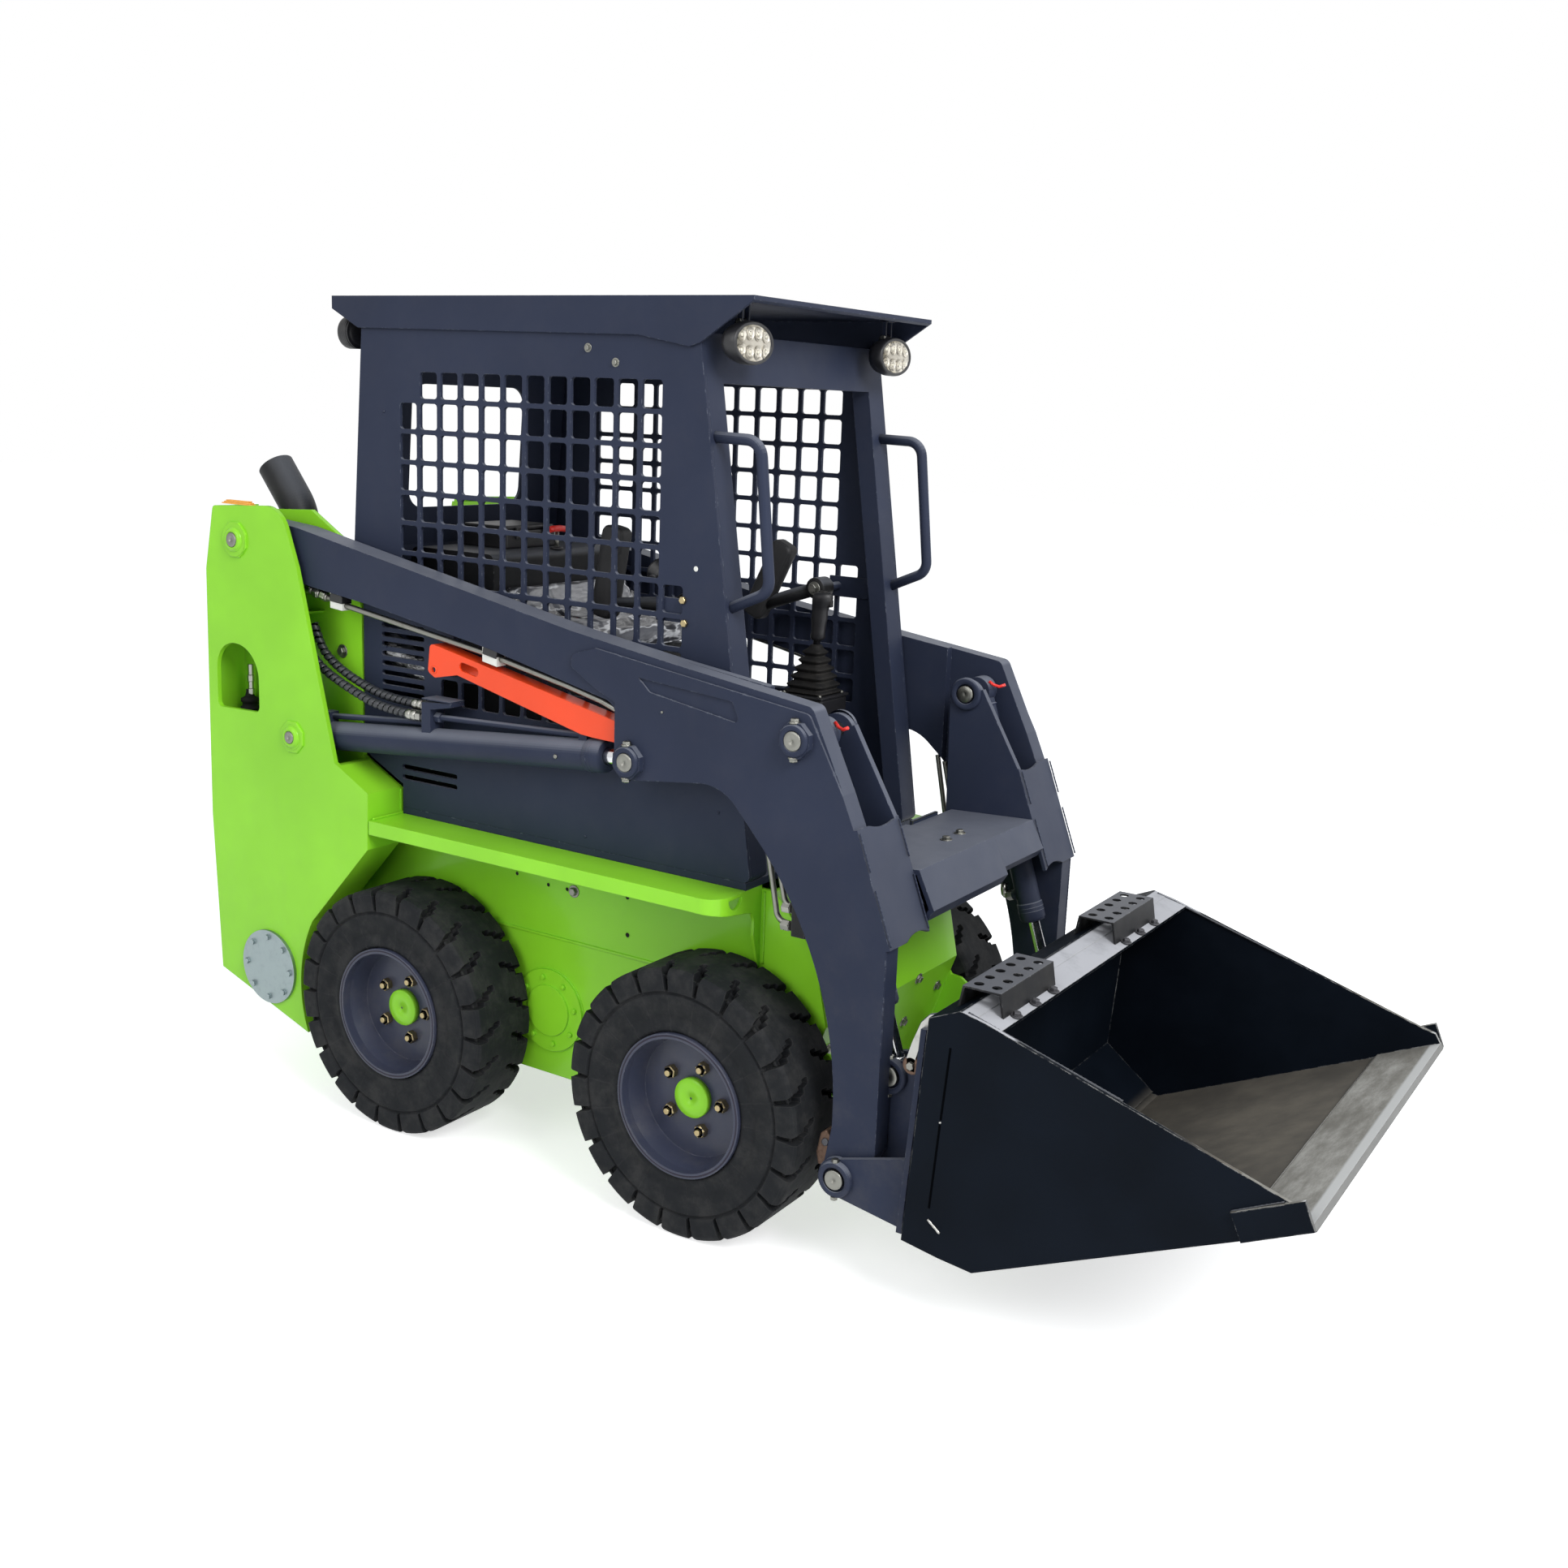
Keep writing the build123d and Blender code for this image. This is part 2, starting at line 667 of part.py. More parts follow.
HANDLE_Y = CAB_HALF - 25
HANDLE_TOP = FRAME_TOP - 222
with BuildPart() as handles:
    with BuildLine(side(-HANDLE_Y)) as grip:
        FilletPolyline(
            (340, HANDLE_TOP - 1),
            (461, HANDLE_TOP),
            (507, HANDLE_TOP - 160),
            (500, HANDLE_TOP - 242),
            (400, HANDLE_TOP - 328),
            radius=(25, 30, 40),
        )
    with BuildSketch(Plane(grip.line @ 0, z_dir=grip.line % 0)):
        Circle(12)
    sweep()
    # the tube ends are cut to the raked post they are welded to
    slab(
        [
            (front_edge(HANDLE_TOP - 400), HANDLE_TOP - 400),
            (front_edge(HANDLE_TOP + 100), HANDLE_TOP + 100),
            (front_edge(HANDLE_TOP + 100) - 150, HANDLE_TOP + 100),
            (front_edge(HANDLE_TOP - 400) - 150, HANDLE_TOP - 400),
        ],
        HANDLE_Y + 20,
        HANDLE_Y - 20,
        mode=Mode.SUBTRACT,
    )
    mirror(about=Plane.XZ)
save(handles, "grab_handles")

# ---------------------------------------------------------------- lamps
FRONT_LAMP_Y = CAB_HALF - 69
REAR_LAMP_Y = CAB_HALF - 43
with BuildPart() as front_lamps:
    for y in (-FRONT_LAMP_Y, FRONT_LAMP_Y):
        with BuildSketch(front(425)):
            with Locations((y, FRAME_TOP - 18)):
                Ellipse(72, 44)
        extrude(amount=-45)
        box((392, 404), (y - 8, y + 8), (FRAME_TOP + 20, ROOF_TOP - ROOF_SHEET))
save(front_lamps, "front_lamps")
with BuildPart() as rear_lamps:
    for y in (-REAR_LAMP_Y, REAR_LAMP_Y):
        with BuildSketch(front(-722)):
            with Locations((y, FRAME_TOP - 10)):
                Circle(38)
        extrude(amount=40)
        box((-706, -694), (y - 8, y + 8), (FRAME_TOP + 20, ROOF_TOP - ROOF_SHEET))
save(rear_lamps, "rear_lamps")

# ---------------------------------------------------------------- inside the cab
COVER_TOP = 1380
SEAT_HALF = 225
with BuildPart() as seat_base:
    slab(
        [
            (-600, CAB_FLOOR),
            (-120, CAB_FLOOR),
            (-120, 1150),
            (-330, 1150),
            (-330, COVER_TOP, 20),
            (-600, COVER_TOP, 20),
        ],
        SEAT_HALF + 15,
        -SEAT_HALF - 15,
    )
save(seat_base, "seat_base")

with BuildPart() as seat:
    slab(
        [
            (-326, 1150 + SEAT_GAP),
            (-90, 1150 + SEAT_GAP, 20),
            (-85, 1222, 25),
            (-250, 1236, 40),
            (-285, 1318, 18),
            (-326, 1318, 12),
        ],
        SEAT_HALF,
        -SEAT_HALF,
    )
save(seat, "seat")

with BuildPart() as console:
    box((-560, -410), (-110, 70), (COVER_TOP, 1436))
    box((-352, -340), (-6, 6), (COVER_TOP, 1422))
    box((-354, -338), (-34, 34), (1422, 1436))
save(console, "rear_console")

# lap bar arms: each hangs from a bracket on its front post and carries an upright pad
LAP_PIVOT = (262, 1322)
LAP_TUBE_R = 17
LAP_PAD_TILT = {"right": 10, "left": 26}
LAP_PAD_FOOT = {"right": (28, 1300), "left": (84, 1262)}
LAP_Y = CAB_HALF - 99


def make_lap_bar(name):
    """Lap bar arm on the right-hand side: sleeve at the bracket, tube and padded grip."""
    foot = LAP_PAD_FOOT[name]
    tilt = radians(LAP_PAD_TILT[name])
    tip = (foot[0] + 150 * sin(tilt), foot[1] + 150 * cos(tilt))
    with BuildPart() as lap_bar:
        rod((LAP_PIVOT[0], -LAP_Y, LAP_PIVOT[1]), (foot[0], -LAP_Y, foot[1]), LAP_TUBE_R)
        bar(*LAP_PIVOT, LAP_Y + 24, LAP_Y - 24, LAP_TUBE_R + 9)
        with BuildSketch(side(-LAP_Y - 24)) as pad:
            middle = ((foot[0] + tip[0]) / 2, (foot[1] + tip[1]) / 2, 0)
            with Locations(Location(middle, (0, 0, -degrees(tilt)))):
                RectangleRounded(66, 215, 20)
        extrude(pad.sketch, amount=-48)
        bar(*LAP_PIVOT, LAP_Y + 25, LAP_Y - 25, 10 + PIN_CLEARANCE, mode=Mode.SUBTRACT)
    return lap_bar


lap_bars = {name: make_lap_bar(name) for name in LAP_PAD_FOOT}
save(lap_bars["right"], "lap_bar_right")
with BuildPart() as lap_bar_left:
    mirror(lap_bars["left"].part, about=Plane.XZ)
save(lap_bar_left, "lap_bar_left")

with BuildPart() as lap_brackets:
    bar(*LAP_PIVOT, INSIDE - 8, LAP_Y - 26, 10)
    slab([(238, 1295), (350, 1295), (350, 1345), (238, 1345)], INSIDE, INSIDE - 8)
    mirror(about=Plane.XZ)
save(lap_brackets, "lap_bar_brackets")

STICK = (290, CAB_HALF - 156)
BOOT_FOOT = 1075
BOOT_TOP = 1180
with BuildPart() as joysticks:
    for y in (-STICK[1], STICK[1]):
        with BuildSketch(level(BOOT_FOOT)) as foot:
            with Locations((STICK[0], y)):
                RectangleRounded(104, 104, 20)
        with BuildSketch(level(BOOT_TOP)) as neck:
            with Locations((STICK[0], y)):
                RectangleRounded(34, 34, 10)
        loft([foot.sketch.face(), neck.sketch.face()])
        rod((STICK[0], y, BOOT_TOP - 5), (STICK[0] + 6, y, 1315), 16)
        box((STICK[0] - 60, STICK[0] + 60), (y - 60, y + 60), (CAB_FLOOR, BOOT_FOOT))
save(joysticks, "joysticks")

# ---------------------------------------------------------------- lift arms
ARM_TOP_LINE = [(-965, 1436), (-778, 1420), (80, 1262), (340, 1224), (692, 1176, 20)]
ARM_FRONT_LINE = [(771, 1013), (835, 868), (884, 734), (882, 297), (850, 234)]
LEG_REAR_LINE = [(762, 234), (780, 330), (783, 670, 780)]
BELLY = [(483, 991, 110), (300, 969), (205, 958, 42)]
ARM_UNDER_LINE = [(205, 1120, 38), (-158, 1197), (-539, 1259), (-754, 1286), (-965, 1320)]
ARM_PROFILE = ARM_TOP_LINE + ARM_FRONT_LINE + LEG_REAR_LINE + BELLY + ARM_UNDER_LINE
BEAM_PROFILE = ARM_TOP_LINE[:4] + [(560, 1196), (560, 925)] + BELLY + ARM_UNDER_LINE
FACE_SHEET = 5  # the front of each arm has a second plate over the boom's side
FACE_TOP_LINE = [(84, 1214, 16), (150, 1233), (340, 1208), (688, 1162, 16)]
FACE_REAR_LINE = [(205, 1124), (147, 1148, 30), (84, 1186, 10)]
FACE_PROFILE = FACE_TOP_LINE + ARM_FRONT_LINE + LEG_REAR_LINE + BELLY + FACE_REAR_LINE
GROOVE = [(266, 1184), (505, 1164, 6), (524, 1121, 8), (296, 1157, 10)]
GROOVE_SINK = 4
EAR_PROFILE = [(621, 1094), (627, 775), (864, 775), (842, 833), (807, 947), (704, 1123)]
COLLAR_R = 38
COLLAR_HEIGHT = 14
STRUT_PIN = (214, 1056)
STRUT_PIN_R = 10
STRUT_EYE_R = 22.8
STRUT_TAIL_HOLE = (-335, 1128)
STRUT_OUT = ARM_OUT - 15
STRUT_IN = BEAM_IN + 15
EYE_PLATE = 12  # walls left beside the lift cylinder's eye

# scalloped cover over the leg's open front, from the outer plate to the ear
COVER_HEAD = (807, 951)
COVER_FOOT = (893, 724)
COVER_SHEET = 9
COVER_WIDTH = ARM_OUT - EAR_IN
COVER_RUN = Vector(COVER_FOOT[0] - COVER_HEAD[0], 0, COVER_FOOT[1] - COVER_HEAD[1])
COVER_SEAT = Plane(
    origin=(MID_X + COVER_HEAD[0], -ARM_OUT, COVER_HEAD[1]),
    x_dir=(0, 1, 0),
    z_dir=(-COVER_RUN.Z, 0, COVER_RUN.X),
)


def cover_plate():
    """The cover, its upper and lower edges each with one shallow scallop towards the ear."""
    foot = -COVER_RUN.length
    with BuildSketch(COVER_SEAT) as cover:
        with BuildLine():
            Line((0, 0), (0.28 * COVER_WIDTH, 0))
            ThreePointArc((0.28 * COVER_WIDTH, 0), (0.64 * COVER_WIDTH, -9), (COVER_WIDTH, 0))
            Line((COVER_WIDTH, 0), (COVER_WIDTH, foot))
            ThreePointArc((COVER_WIDTH, foot), (0.71 * COVER_WIDTH, foot + 11), (0.42 * COVER_WIDTH, foot))
            Line((0.42 * COVER_WIDTH, foot), (0, foot))
            Line((0, foot), (0, 0))
        make_face()
    extrude(cover.sketch, amount=-COVER_SHEET)


def collar(x, z):
    """Eight-sided collar welded round a pin on the arm's outer face."""
    with BuildSketch(side(-ARM_OUT)) as ring:
        with Locations((x, z)):
            RegularPolygon(COLLAR_R, 8, rotation=22.5)
    extrude(ring.sketch, amount=COLLAR_HEIGHT)


with BuildPart() as arm:
    slab(ARM_PROFILE, ARM_OUT - FACE_SHEET, LEG_IN)
    slab(FACE_PROFILE, ARM_OUT, ARM_OUT - FACE_SHEET)
    slab(GROOVE, ARM_OUT + 1, ARM_OUT - GROOVE_SINK, mode=Mode.SUBTRACT)
    slab(BEAM_PROFILE, LEG_IN, BEAM_IN)
    bar(*ARM_PIVOT, ARM_OUT - FACE_SHEET, BEAM_IN, 58)
    bar(*BUCKET_PIVOT, ARM_OUT, LEG_IN, 44)
    # ear beside the tilt cylinder
    slab(EAR_PROFILE, EAR_OUT, EAR_IN)
    bar(663, 1100, EAR_OUT, EAR_IN, 42)
    cover_plate()
    collar(*LIFT_EYE)
    collar(*TILT_TOP)
    # pocket for the lift cylinder's eye and the strut's end
    slab(
        [(150, 1112), (300, 1112), (300, 930), (150, 930)],
        ARM_OUT - EYE_PLATE,
        BEAM_IN + EYE_PLATE,
        mode=Mode.SUBTRACT,
    )
    # tab that holds the strut's rear end, and the strut's pin
    slab(
        [
            (-358, 1233),
            (-312, 1225),
            (-312, STRUT_TAIL_HOLE[1] - 16, 14),
            (-358, STRUT_TAIL_HOLE[1] - 16, 14),
        ],
        STRUT_IN - SEAT_GAP,
        BEAM_IN,
    )
    bar(*STRUT_PIN, ARM_OUT - EYE_PLATE, BEAM_IN + EYE_PLATE, STRUT_PIN_R)
    bar(*ARM_PIVOT, ARM_OUT + 1, BEAM_IN - 1, ARM_PIN_R + PIN_CLEARANCE, mode=Mode.SUBTRACT)
    bar(*BUCKET_PIVOT, ARM_OUT + 1, LEG_IN - 1, BUCKET_PIN_R + PIN_CLEARANCE, mode=Mode.SUBTRACT)
    bar(*TILT_TOP, ARM_OUT + COLLAR_HEIGHT + 1, EAR_IN - 1, TILT_PIN_R, mode=Mode.SUBTRACT)
    bar(*LIFT_EYE, ARM_OUT + COLLAR_HEIGHT + 1, BEAM_IN - 1, LIFT_PIN_R, mode=Mode.SUBTRACT)
save_pair(arm, "lift_arm")

# the crossbeam is a deep box on the right and a slimmer one on the left, split at a station left of centre
BEAM_STEP = 60
DEEP_BEAM = [(640, 835), (862, 845), (900, 767), (884, 742), (640, 765)]
DEEP_BORE = [(650, 825), (856, 834), (888, 768), (878, 753), (650, 775)]
SLIM_BEAM = [(640, 828), (850, 838), (882, 776), (868, 756), (640, 774)]
SLIM_BORE = [(650, 818), (844, 827), (870, 777), (863, 767), (650, 784)]
with BuildPart() as crossbeam:
    slab(DEEP_BEAM, EAR_IN, -BEAM_STEP)
    slab(SLIM_BEAM, -BEAM_STEP, -EAR_IN)
    slab(DEEP_BORE, EAR_IN, -BEAM_STEP + SHEET, mode=Mode.SUBTRACT)
    slab(SLIM_BORE, -BEAM_STEP, -EAR_IN, mode=Mode.SUBTRACT)
save(crossbeam, "crossbeam")

COUPLING_PLACES = ((125, 714), (185, 690))  # (y, z) of the auxiliary hydraulic couplings
COUPLING_RISE = radians(5)
COUPLING_NOSE_R = 12.5
with BuildPart() as couplings:
    box((632, 640), (95, 215), (642, 835))
    for y, z in COUPLING_PLACES:
        root, shoulder, nose = (
            (640 + reach * cos(COUPLING_RISE), y, z + reach * sin(COUPLING_RISE)) for reach in (-3, 95, 125)
        )
        rod(root, shoulder, 17)
        rod(shoulder, nose, COUPLING_NOSE_R)
save(couplings, "aux_couplings")

with BuildPart() as arm_pins:
    bar(*TILT_TOP, ARM_OUT + 20, EAR_IN - 8, TILT_PIN_R)
    bar(*LIFT_EYE, ARM_OUT + 20, ARM_OUT - EYE_PLATE, LIFT_PIN_R)
    bar(*LIFT_EYE, BEAM_IN + EYE_PLATE, BEAM_IN - 4, LIFT_PIN_R)
    mirror(about=Plane.XZ)
save(arm_pins, "arm_pins")

STRUT_SHEET = 5
STRUT_TOP_LINE = [(-347, 1188, 10), (-294, 1178), (STRUT_PIN[0] - 6, 1078)]
STRUT_UNDER_LINE = [
    (STRUT_PIN[0] - 6, 1034),
    (135, 1036),
    (100, 1039),
    (-262, 1124),
    (-332, 1110, 12),
    (-354, 1122, 12),
]
with BuildPart() as strut:
    slab(STRUT_TOP_LINE + STRUT_UNDER_LINE, STRUT_OUT, STRUT_IN)
    bar(*STRUT_PIN, STRUT_OUT, STRUT_IN, STRUT_EYE_R)
    # a channel, open below
    slab(
        [(-400, 1178), (-294, 1178 - STRUT_SHEET), (170, 1081), (170, 1000), (-400, 1000)],
        STRUT_OUT - STRUT_SHEET,
        STRUT_IN + STRUT_SHEET,
        mode=Mode.SUBTRACT,
    )
    bar(*STRUT_TAIL_HOLE, STRUT_OUT + 1, STRUT_IN - 1, 6, mode=Mode.SUBTRACT)
    bar(*STRUT_PIN, STRUT_OUT + 1, STRUT_IN - 1, STRUT_PIN_R + PIN_CLEARANCE, mode=Mode.SUBTRACT)
    with BuildSketch(side(-STRUT_OUT)) as slot:
        with Locations(Location((-227, 1141, 0), (0, 0, -11))):
            SlotOverall(58, 20)
    extrude(slot.sketch, amount=-STRUT_SHEET, mode=Mode.SUBTRACT)
save(strut, "arm_strut")

# ---------------------------------------------------------------- lift cylinders
def along(start, end, distance, y):
    """Point on the line between two side-view points, a distance from the first."""
    share = distance / hypot(end[0] - start[0], end[1] - start[1])
    return (start[0] + share * (end[0] - start[0]), y, start[1] + share * (end[1] - start[1]))


def make_barrel(base, eye, y, radius, length, pin_radius, eye_half):
    """Cylinder barrel: base eye, tube and gland."""
    bar(*base, -y + eye_half, -y - eye_half, pin_radius + 16)
    rod(along(base, eye, pin_radius + 6, y), along(base, eye, length, y), radius)
    bar(*base, -y + eye_half + 1, -y - eye_half - 1, pin_radius + PIN_CLEARANCE, mode=Mode.SUBTRACT)


def bore_along(base, eye, y, start, end, radius):
    """Bore in a barrel for its rod."""
    rod(along(base, eye, start, y), along(base, eye, end, y), radius, mode=Mode.SUBTRACT)


LINE_R = 7
PORT_BLOCK = [(-373, 960), (-345, 960), (-345, 1034), (-281, 1046), (-281, 1056), (-373, 1048)]
PORT_BACK = PORT_BLOCK[0][0]
with BuildPart() as lift_barrels:
    # port block and the hard lines that feed both ends of the cylinder
    slab(PORT_BLOCK, LIFT_Y + 22, LIFT_Y - 22)
    for line in (((-697, 970), (PORT_BACK, 998)), ((-345, 1014), (102, 1033))):
        rod((line[0][0], -LIFT_Y, line[0][1]), (line[1][0], -LIFT_Y, line[1][1]), LINE_R)
    slab([(-712, 930), (-688, 930), (-688, 982), (-712, 982)], LIFT_Y + 14, LIFT_Y - 14)
    slab([(88, 1000), (110, 1000), (110, 1042), (88, 1042)], LIFT_Y + 12, LIFT_Y - 12)
    make_barrel(LIFT_BASE, LIFT_EYE, -LIFT_Y, LIFT_BARREL_R, LIFT_BARREL_LENGTH, LIFT_PIN_R, 26)
    bore_along(LIFT_BASE, LIFT_EYE, -LIFT_Y, 80, LIFT_BARREL_LENGTH + 1, LIFT_ROD_R + PIN_CLEARANCE)
    mirror(about=Plane.XZ)
save(lift_barrels, "lift_barrels")

HOSE_R = 10
HOSES = {  # (x, z) route of each hose from inside the tower to the port block, and its station
    LIFT_Y - 9: [
        (-764, 1188),
        (-742, 1134),
        (-698, 1098),
        (-625, 1066),
        (-510, 1034),
        (PORT_BACK - SEAT_GAP, 1034),
    ],
    LIFT_Y + 11: [(-790, 1150), (-738, 1094), (-620, 1046), (-500, 1012), (PORT_BACK - SEAT_GAP, 1012)],
}


def bend_radii(route):
    """Bend radius at each inner point of a hose, as large as its two runs allow."""
    radii = []
    for before, point, after in zip(route, route[1:], route[2:]):
        arriving = Vector(point[0] - before[0], point[1] - before[1])
        leaving = Vector(after[0] - point[0], after[1] - point[1])
        reach = 0.45 * min(arriving.length, leaving.length)
        radii.append(reach / tan(radians(arriving.get_angle(leaving)) / 2))
    print("hose bend radii", [round(radius) for radius in radii])
    return radii


with BuildPart() as lift_hoses:
    for station, route in HOSES.items():
        with BuildLine(side(-station)) as path:
            FilletPolyline(*route, radius=bend_radii(route))
        with BuildSketch(Plane(path.line @ 0, z_dir=path.line % 0)) as bore:
            Circle(HOSE_R)
        sweep(bore.sketch, path=path.line)
    mirror(about=Plane.XZ)
save(lift_hoses, "lift_hoses")

# hard lines that run along each arm: one under the boom, two curving in behind the leg
PIPE_Y = ARM_OUT - 25
BOOM_PIPE = [(-766, 1276), (-643, 1247), (-382, 1210), (-181, 1182), (55, 1138), (150, 1117), (195, 1102)]
LEG_PIPE_Y = LEG_IN - 16
LEG_PIPES = ([(546, 931), (590, 712), (640, 703)], [(566, 918), (608, 748), (640, 741)])
CLAMPS = (
    [(-669, 1238), (-629, 1234), (-629, 1270), (-669, 1275)],
    [(-182, 1166), (-139, 1158), (-139, 1192.6), (-158, 1196.7), (-182, 1200.6)],
)


def pipe(route, station, radius, bend, mode=Mode.ADD):
    """Hard line along a side-view route at one station on the right-hand side."""
    with BuildLine(side(-station)) as path:
        FilletPolyline(*route, radius=bend)
    with BuildSketch(Plane(path.line @ 0, z_dir=path.line % 0)) as section:
        Circle(radius)
    sweep(section.sketch, path=path.line, mode=mode)


with BuildPart() as arm_pipes:
    pipe(BOOM_PIPE, PIPE_Y, LINE_R, 60)
    for start in (4, 30, 56):
        nut = [along(BOOM_PIPE[0], BOOM_PIPE[1], start + step, -PIPE_Y) for step in (0, 18)]
        rod(nut[0], nut[1], LINE_R + 4)
    for route in LEG_PIPES:
        pipe(route, LEG_PIPE_Y, LINE_R - 1, 24)
    slab([(636, 690), (666, 690), (666, 754), (636, 754)], LEG_IN, LEG_IN - 26)
    mirror(about=Plane.XZ)
save(arm_pipes, "arm_pipes")

with BuildPart() as pipe_clamps:
    for clamp in CLAMPS:
        slab(clamp, PIPE_Y + 14, PIPE_Y - 14)
    pipe(BOOM_PIPE, PIPE_Y, LINE_R + SEAT_GAP, 60, mode=Mode.SUBTRACT)
    mirror(about=Plane.XZ)
save(pipe_clamps, "pipe_clamps")

LIFT_SPAN = hypot(LIFT_EYE[0] - LIFT_BASE[0], LIFT_EYE[1] - LIFT_BASE[1])
with BuildPart() as lift_rods:
    rod(
        along(LIFT_BASE, LIFT_EYE, 110, -LIFT_Y),
        along(LIFT_BASE, LIFT_EYE, LIFT_SPAN - 10, -LIFT_Y),
        LIFT_ROD_R,
    )
    bar(*LIFT_EYE, LIFT_Y + 20, LIFT_Y - 20, 32)
    mirror(about=Plane.XZ)
save(lift_rods, "lift_rods")

with BuildPart() as tilt_barrels:
    make_barrel(TILT_TOP, TILT_EYE, -TILT_Y, TILT_BARREL_R, TILT_BARREL_LENGTH, TILT_PIN_R, 20)
    bore_along(TILT_TOP, TILT_EYE, -TILT_Y, 80, TILT_BARREL_LENGTH + 1, TILT_ROD_R + PIN_CLEARANCE)
    mirror(about=Plane.XZ)
save(tilt_barrels, "tilt_barrels")

TILT_SPAN = hypot(TILT_EYE[0] - TILT_TOP[0], TILT_EYE[1] - TILT_TOP[1])
with BuildPart() as tilt_rods:
    rod(
        along(TILT_TOP, TILT_EYE, 110, -TILT_Y),
        along(TILT_TOP, TILT_EYE, TILT_SPAN - 8, -TILT_Y),
        TILT_ROD_R,
    )
    bar(*TILT_EYE, TILT_Y + 17, TILT_Y - 17, 28)
    mirror(about=Plane.XZ)
save(tilt_rods, "tilt_rods")

# ---------------------------------------------------------------- coupler
COUPLER_EAR = [(806, 274), (950, 316), (962, 316), (951, 173), (810, 194)]
EYE_EAR = [(806, 192), (953, 173), (976, 500), (905, 485), (856, 470), (766, 240)]
with BuildPart() as coupler:
    slab([(951, 166), (963, 166), (994, 596), (982, 596)], COUPLER_EAR_OUT + 8, -COUPLER_EAR_OUT - 8)
    box((900, 1030), (-200, 200), (240, 520), mode=Mode.SUBTRACT)
    slab(COUPLER_EAR, COUPLER_EAR_OUT, COUPLER_EAR_OUT - PLATE)
    bar(*BUCKET_PIVOT, COUPLER_EAR_OUT, COUPLER_EAR_OUT - PLATE, 42)
    for outer in (COUPLER_MID_OUT, COUPLER_INNER_OUT):
        slab(EYE_EAR, outer, outer - PLATE)
        bar(*TILT_EYE, outer, outer - PLATE, 30)
        bar(*BUCKET_PIVOT, outer, outer - PLATE, 42)
    bar(*BUCKET_PIVOT, COUPLER_EAR_OUT + 8, COUPLER_INNER_OUT - PLATE - 4, BUCKET_PIN_R, mode=Mode.SUBTRACT)
    bar(*TILT_EYE, COUPLER_MID_OUT + 1, COUPLER_INNER_OUT - PLATE - 1, TILT_PIN_R, mode=Mode.SUBTRACT)
    mirror(about=Plane.XZ)
save(coupler, "coupler")

with BuildPart() as coupler_pins:
    bar(*BUCKET_PIVOT, COUPLER_EAR_OUT + 10, COUPLER_INNER_OUT - PLATE - 4, BUCKET_PIN_R)
    bar(*TILT_EYE, COUPLER_MID_OUT + 2, COUPLER_MID_OUT - PLATE, TILT_PIN_R)
    bar(*TILT_EYE, COUPLER_INNER_OUT, COUPLER_INNER_OUT - PLATE - 6, TILT_PIN_R)
    mirror(about=Plane.XZ)
save(coupler_pins, "coupler_pins")

# ---------------------------------------------------------------- bucket
BUCKET_SIDE = [
    (1013, 635),
    (1077, 663),
    (1131, 651),
    (1709, 475),
    (1738, 468),
    (FRONT_X, 437),
    (1570, 352),
    (1133, 153),
    (1059, 160),
    (979, 172),
]
BUCKET_INSIDE = [
    (1021, 620),
    (1077, 640),
    (1200, 700),
    (1800, 520),
    (1800, 466),
    (1566, 360),
    (1131, 162),
    (1062, 168),
    (988, 180),
]
FLANGE = [(1013, 635), (1077, 663), (1160, 642), (1158, 634), (1077, 654), (1017, 627)]
CUTTER_SHEET = 8
with BuildPart() as bucket:
    slab(BUCKET_SIDE, BUCKET_HALF, -BUCKET_HALF)
    slab(BUCKET_INSIDE, BUCKET_HALF - SHEET, -BUCKET_HALF + SHEET, mode=Mode.SUBTRACT)
    # ribs and hook that seat on the coupler's face and top edge
    for y in (-420, -140, 140, 420):
        slab(
            [
                (963.9 + SEAT_GAP, 174),
                (981, 174),
                (1014, 602),
                (994 + SEAT_GAP, 596),
            ],
            y + 6,
            y - 6,
        )
    slab([(980, 596 + SEAT_GAP), (1013, 596 + SEAT_GAP), (1016, 610), (980, 606)], 440, -440)
    # top flange, folded along a ridge; heel plate in the corner; thicker cutting edge
    slab(FLANGE, BUCKET_HALF, -BUCKET_HALF)
    slab([(985, 178), (993, 264), (1118, 168), (1062, 165)], BUCKET_HALF, -BUCKET_HALF)
    slab([(1622, 378), (1622, 391), (1751, 449.6), (FRONT_X, 437)], BUCKET_HALF, -BUCKET_HALF)
    # side cutters
    for outer in (BUCKET_HALF + CUTTER_SHEET, -BUCKET_HALF):
        slab([(1612, 430), (1735, 489), (1756, 439), (1635, 381)], outer, outer - CUTTER_SHEET)
save(bucket, "bucket")

STEP_PLACES = (-330, 219)
STEP_LENGTH = 236
with BuildPart() as steps:
    for y in STEP_PLACES:
        ends = (STEP_LENGTH / 2 - y, -STEP_LENGTH / 2 - y)
        # the feet follow the ridge of the flange
        slab([(1046, 649.8), (1054, 694), (1134, 694), (1142, 646.9), (1077, 663.4)], *ends)
        slab([(1049, 640), (1058, 690), (1130, 690), (1139, 640)], *ends, mode=Mode.SUBTRACT)
        with BuildSketch(level(689)) as holes:
            with Locations((1094, y)):
                with GridLocations(38, 46, 2, 5):
                    Circle(10)
        extrude(holes.sketch, amount=6, mode=Mode.SUBTRACT)
save(steps, "bucket_steps")
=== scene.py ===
"""Looks of a skid steer loader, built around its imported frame. Metres: +X forward, +Y left, +Z up."""

import json
import random
from math import cos, exp, hypot, pi, radians, sin, tan

import bmesh
import bpy
from mathutils import Matrix, Vector, noise


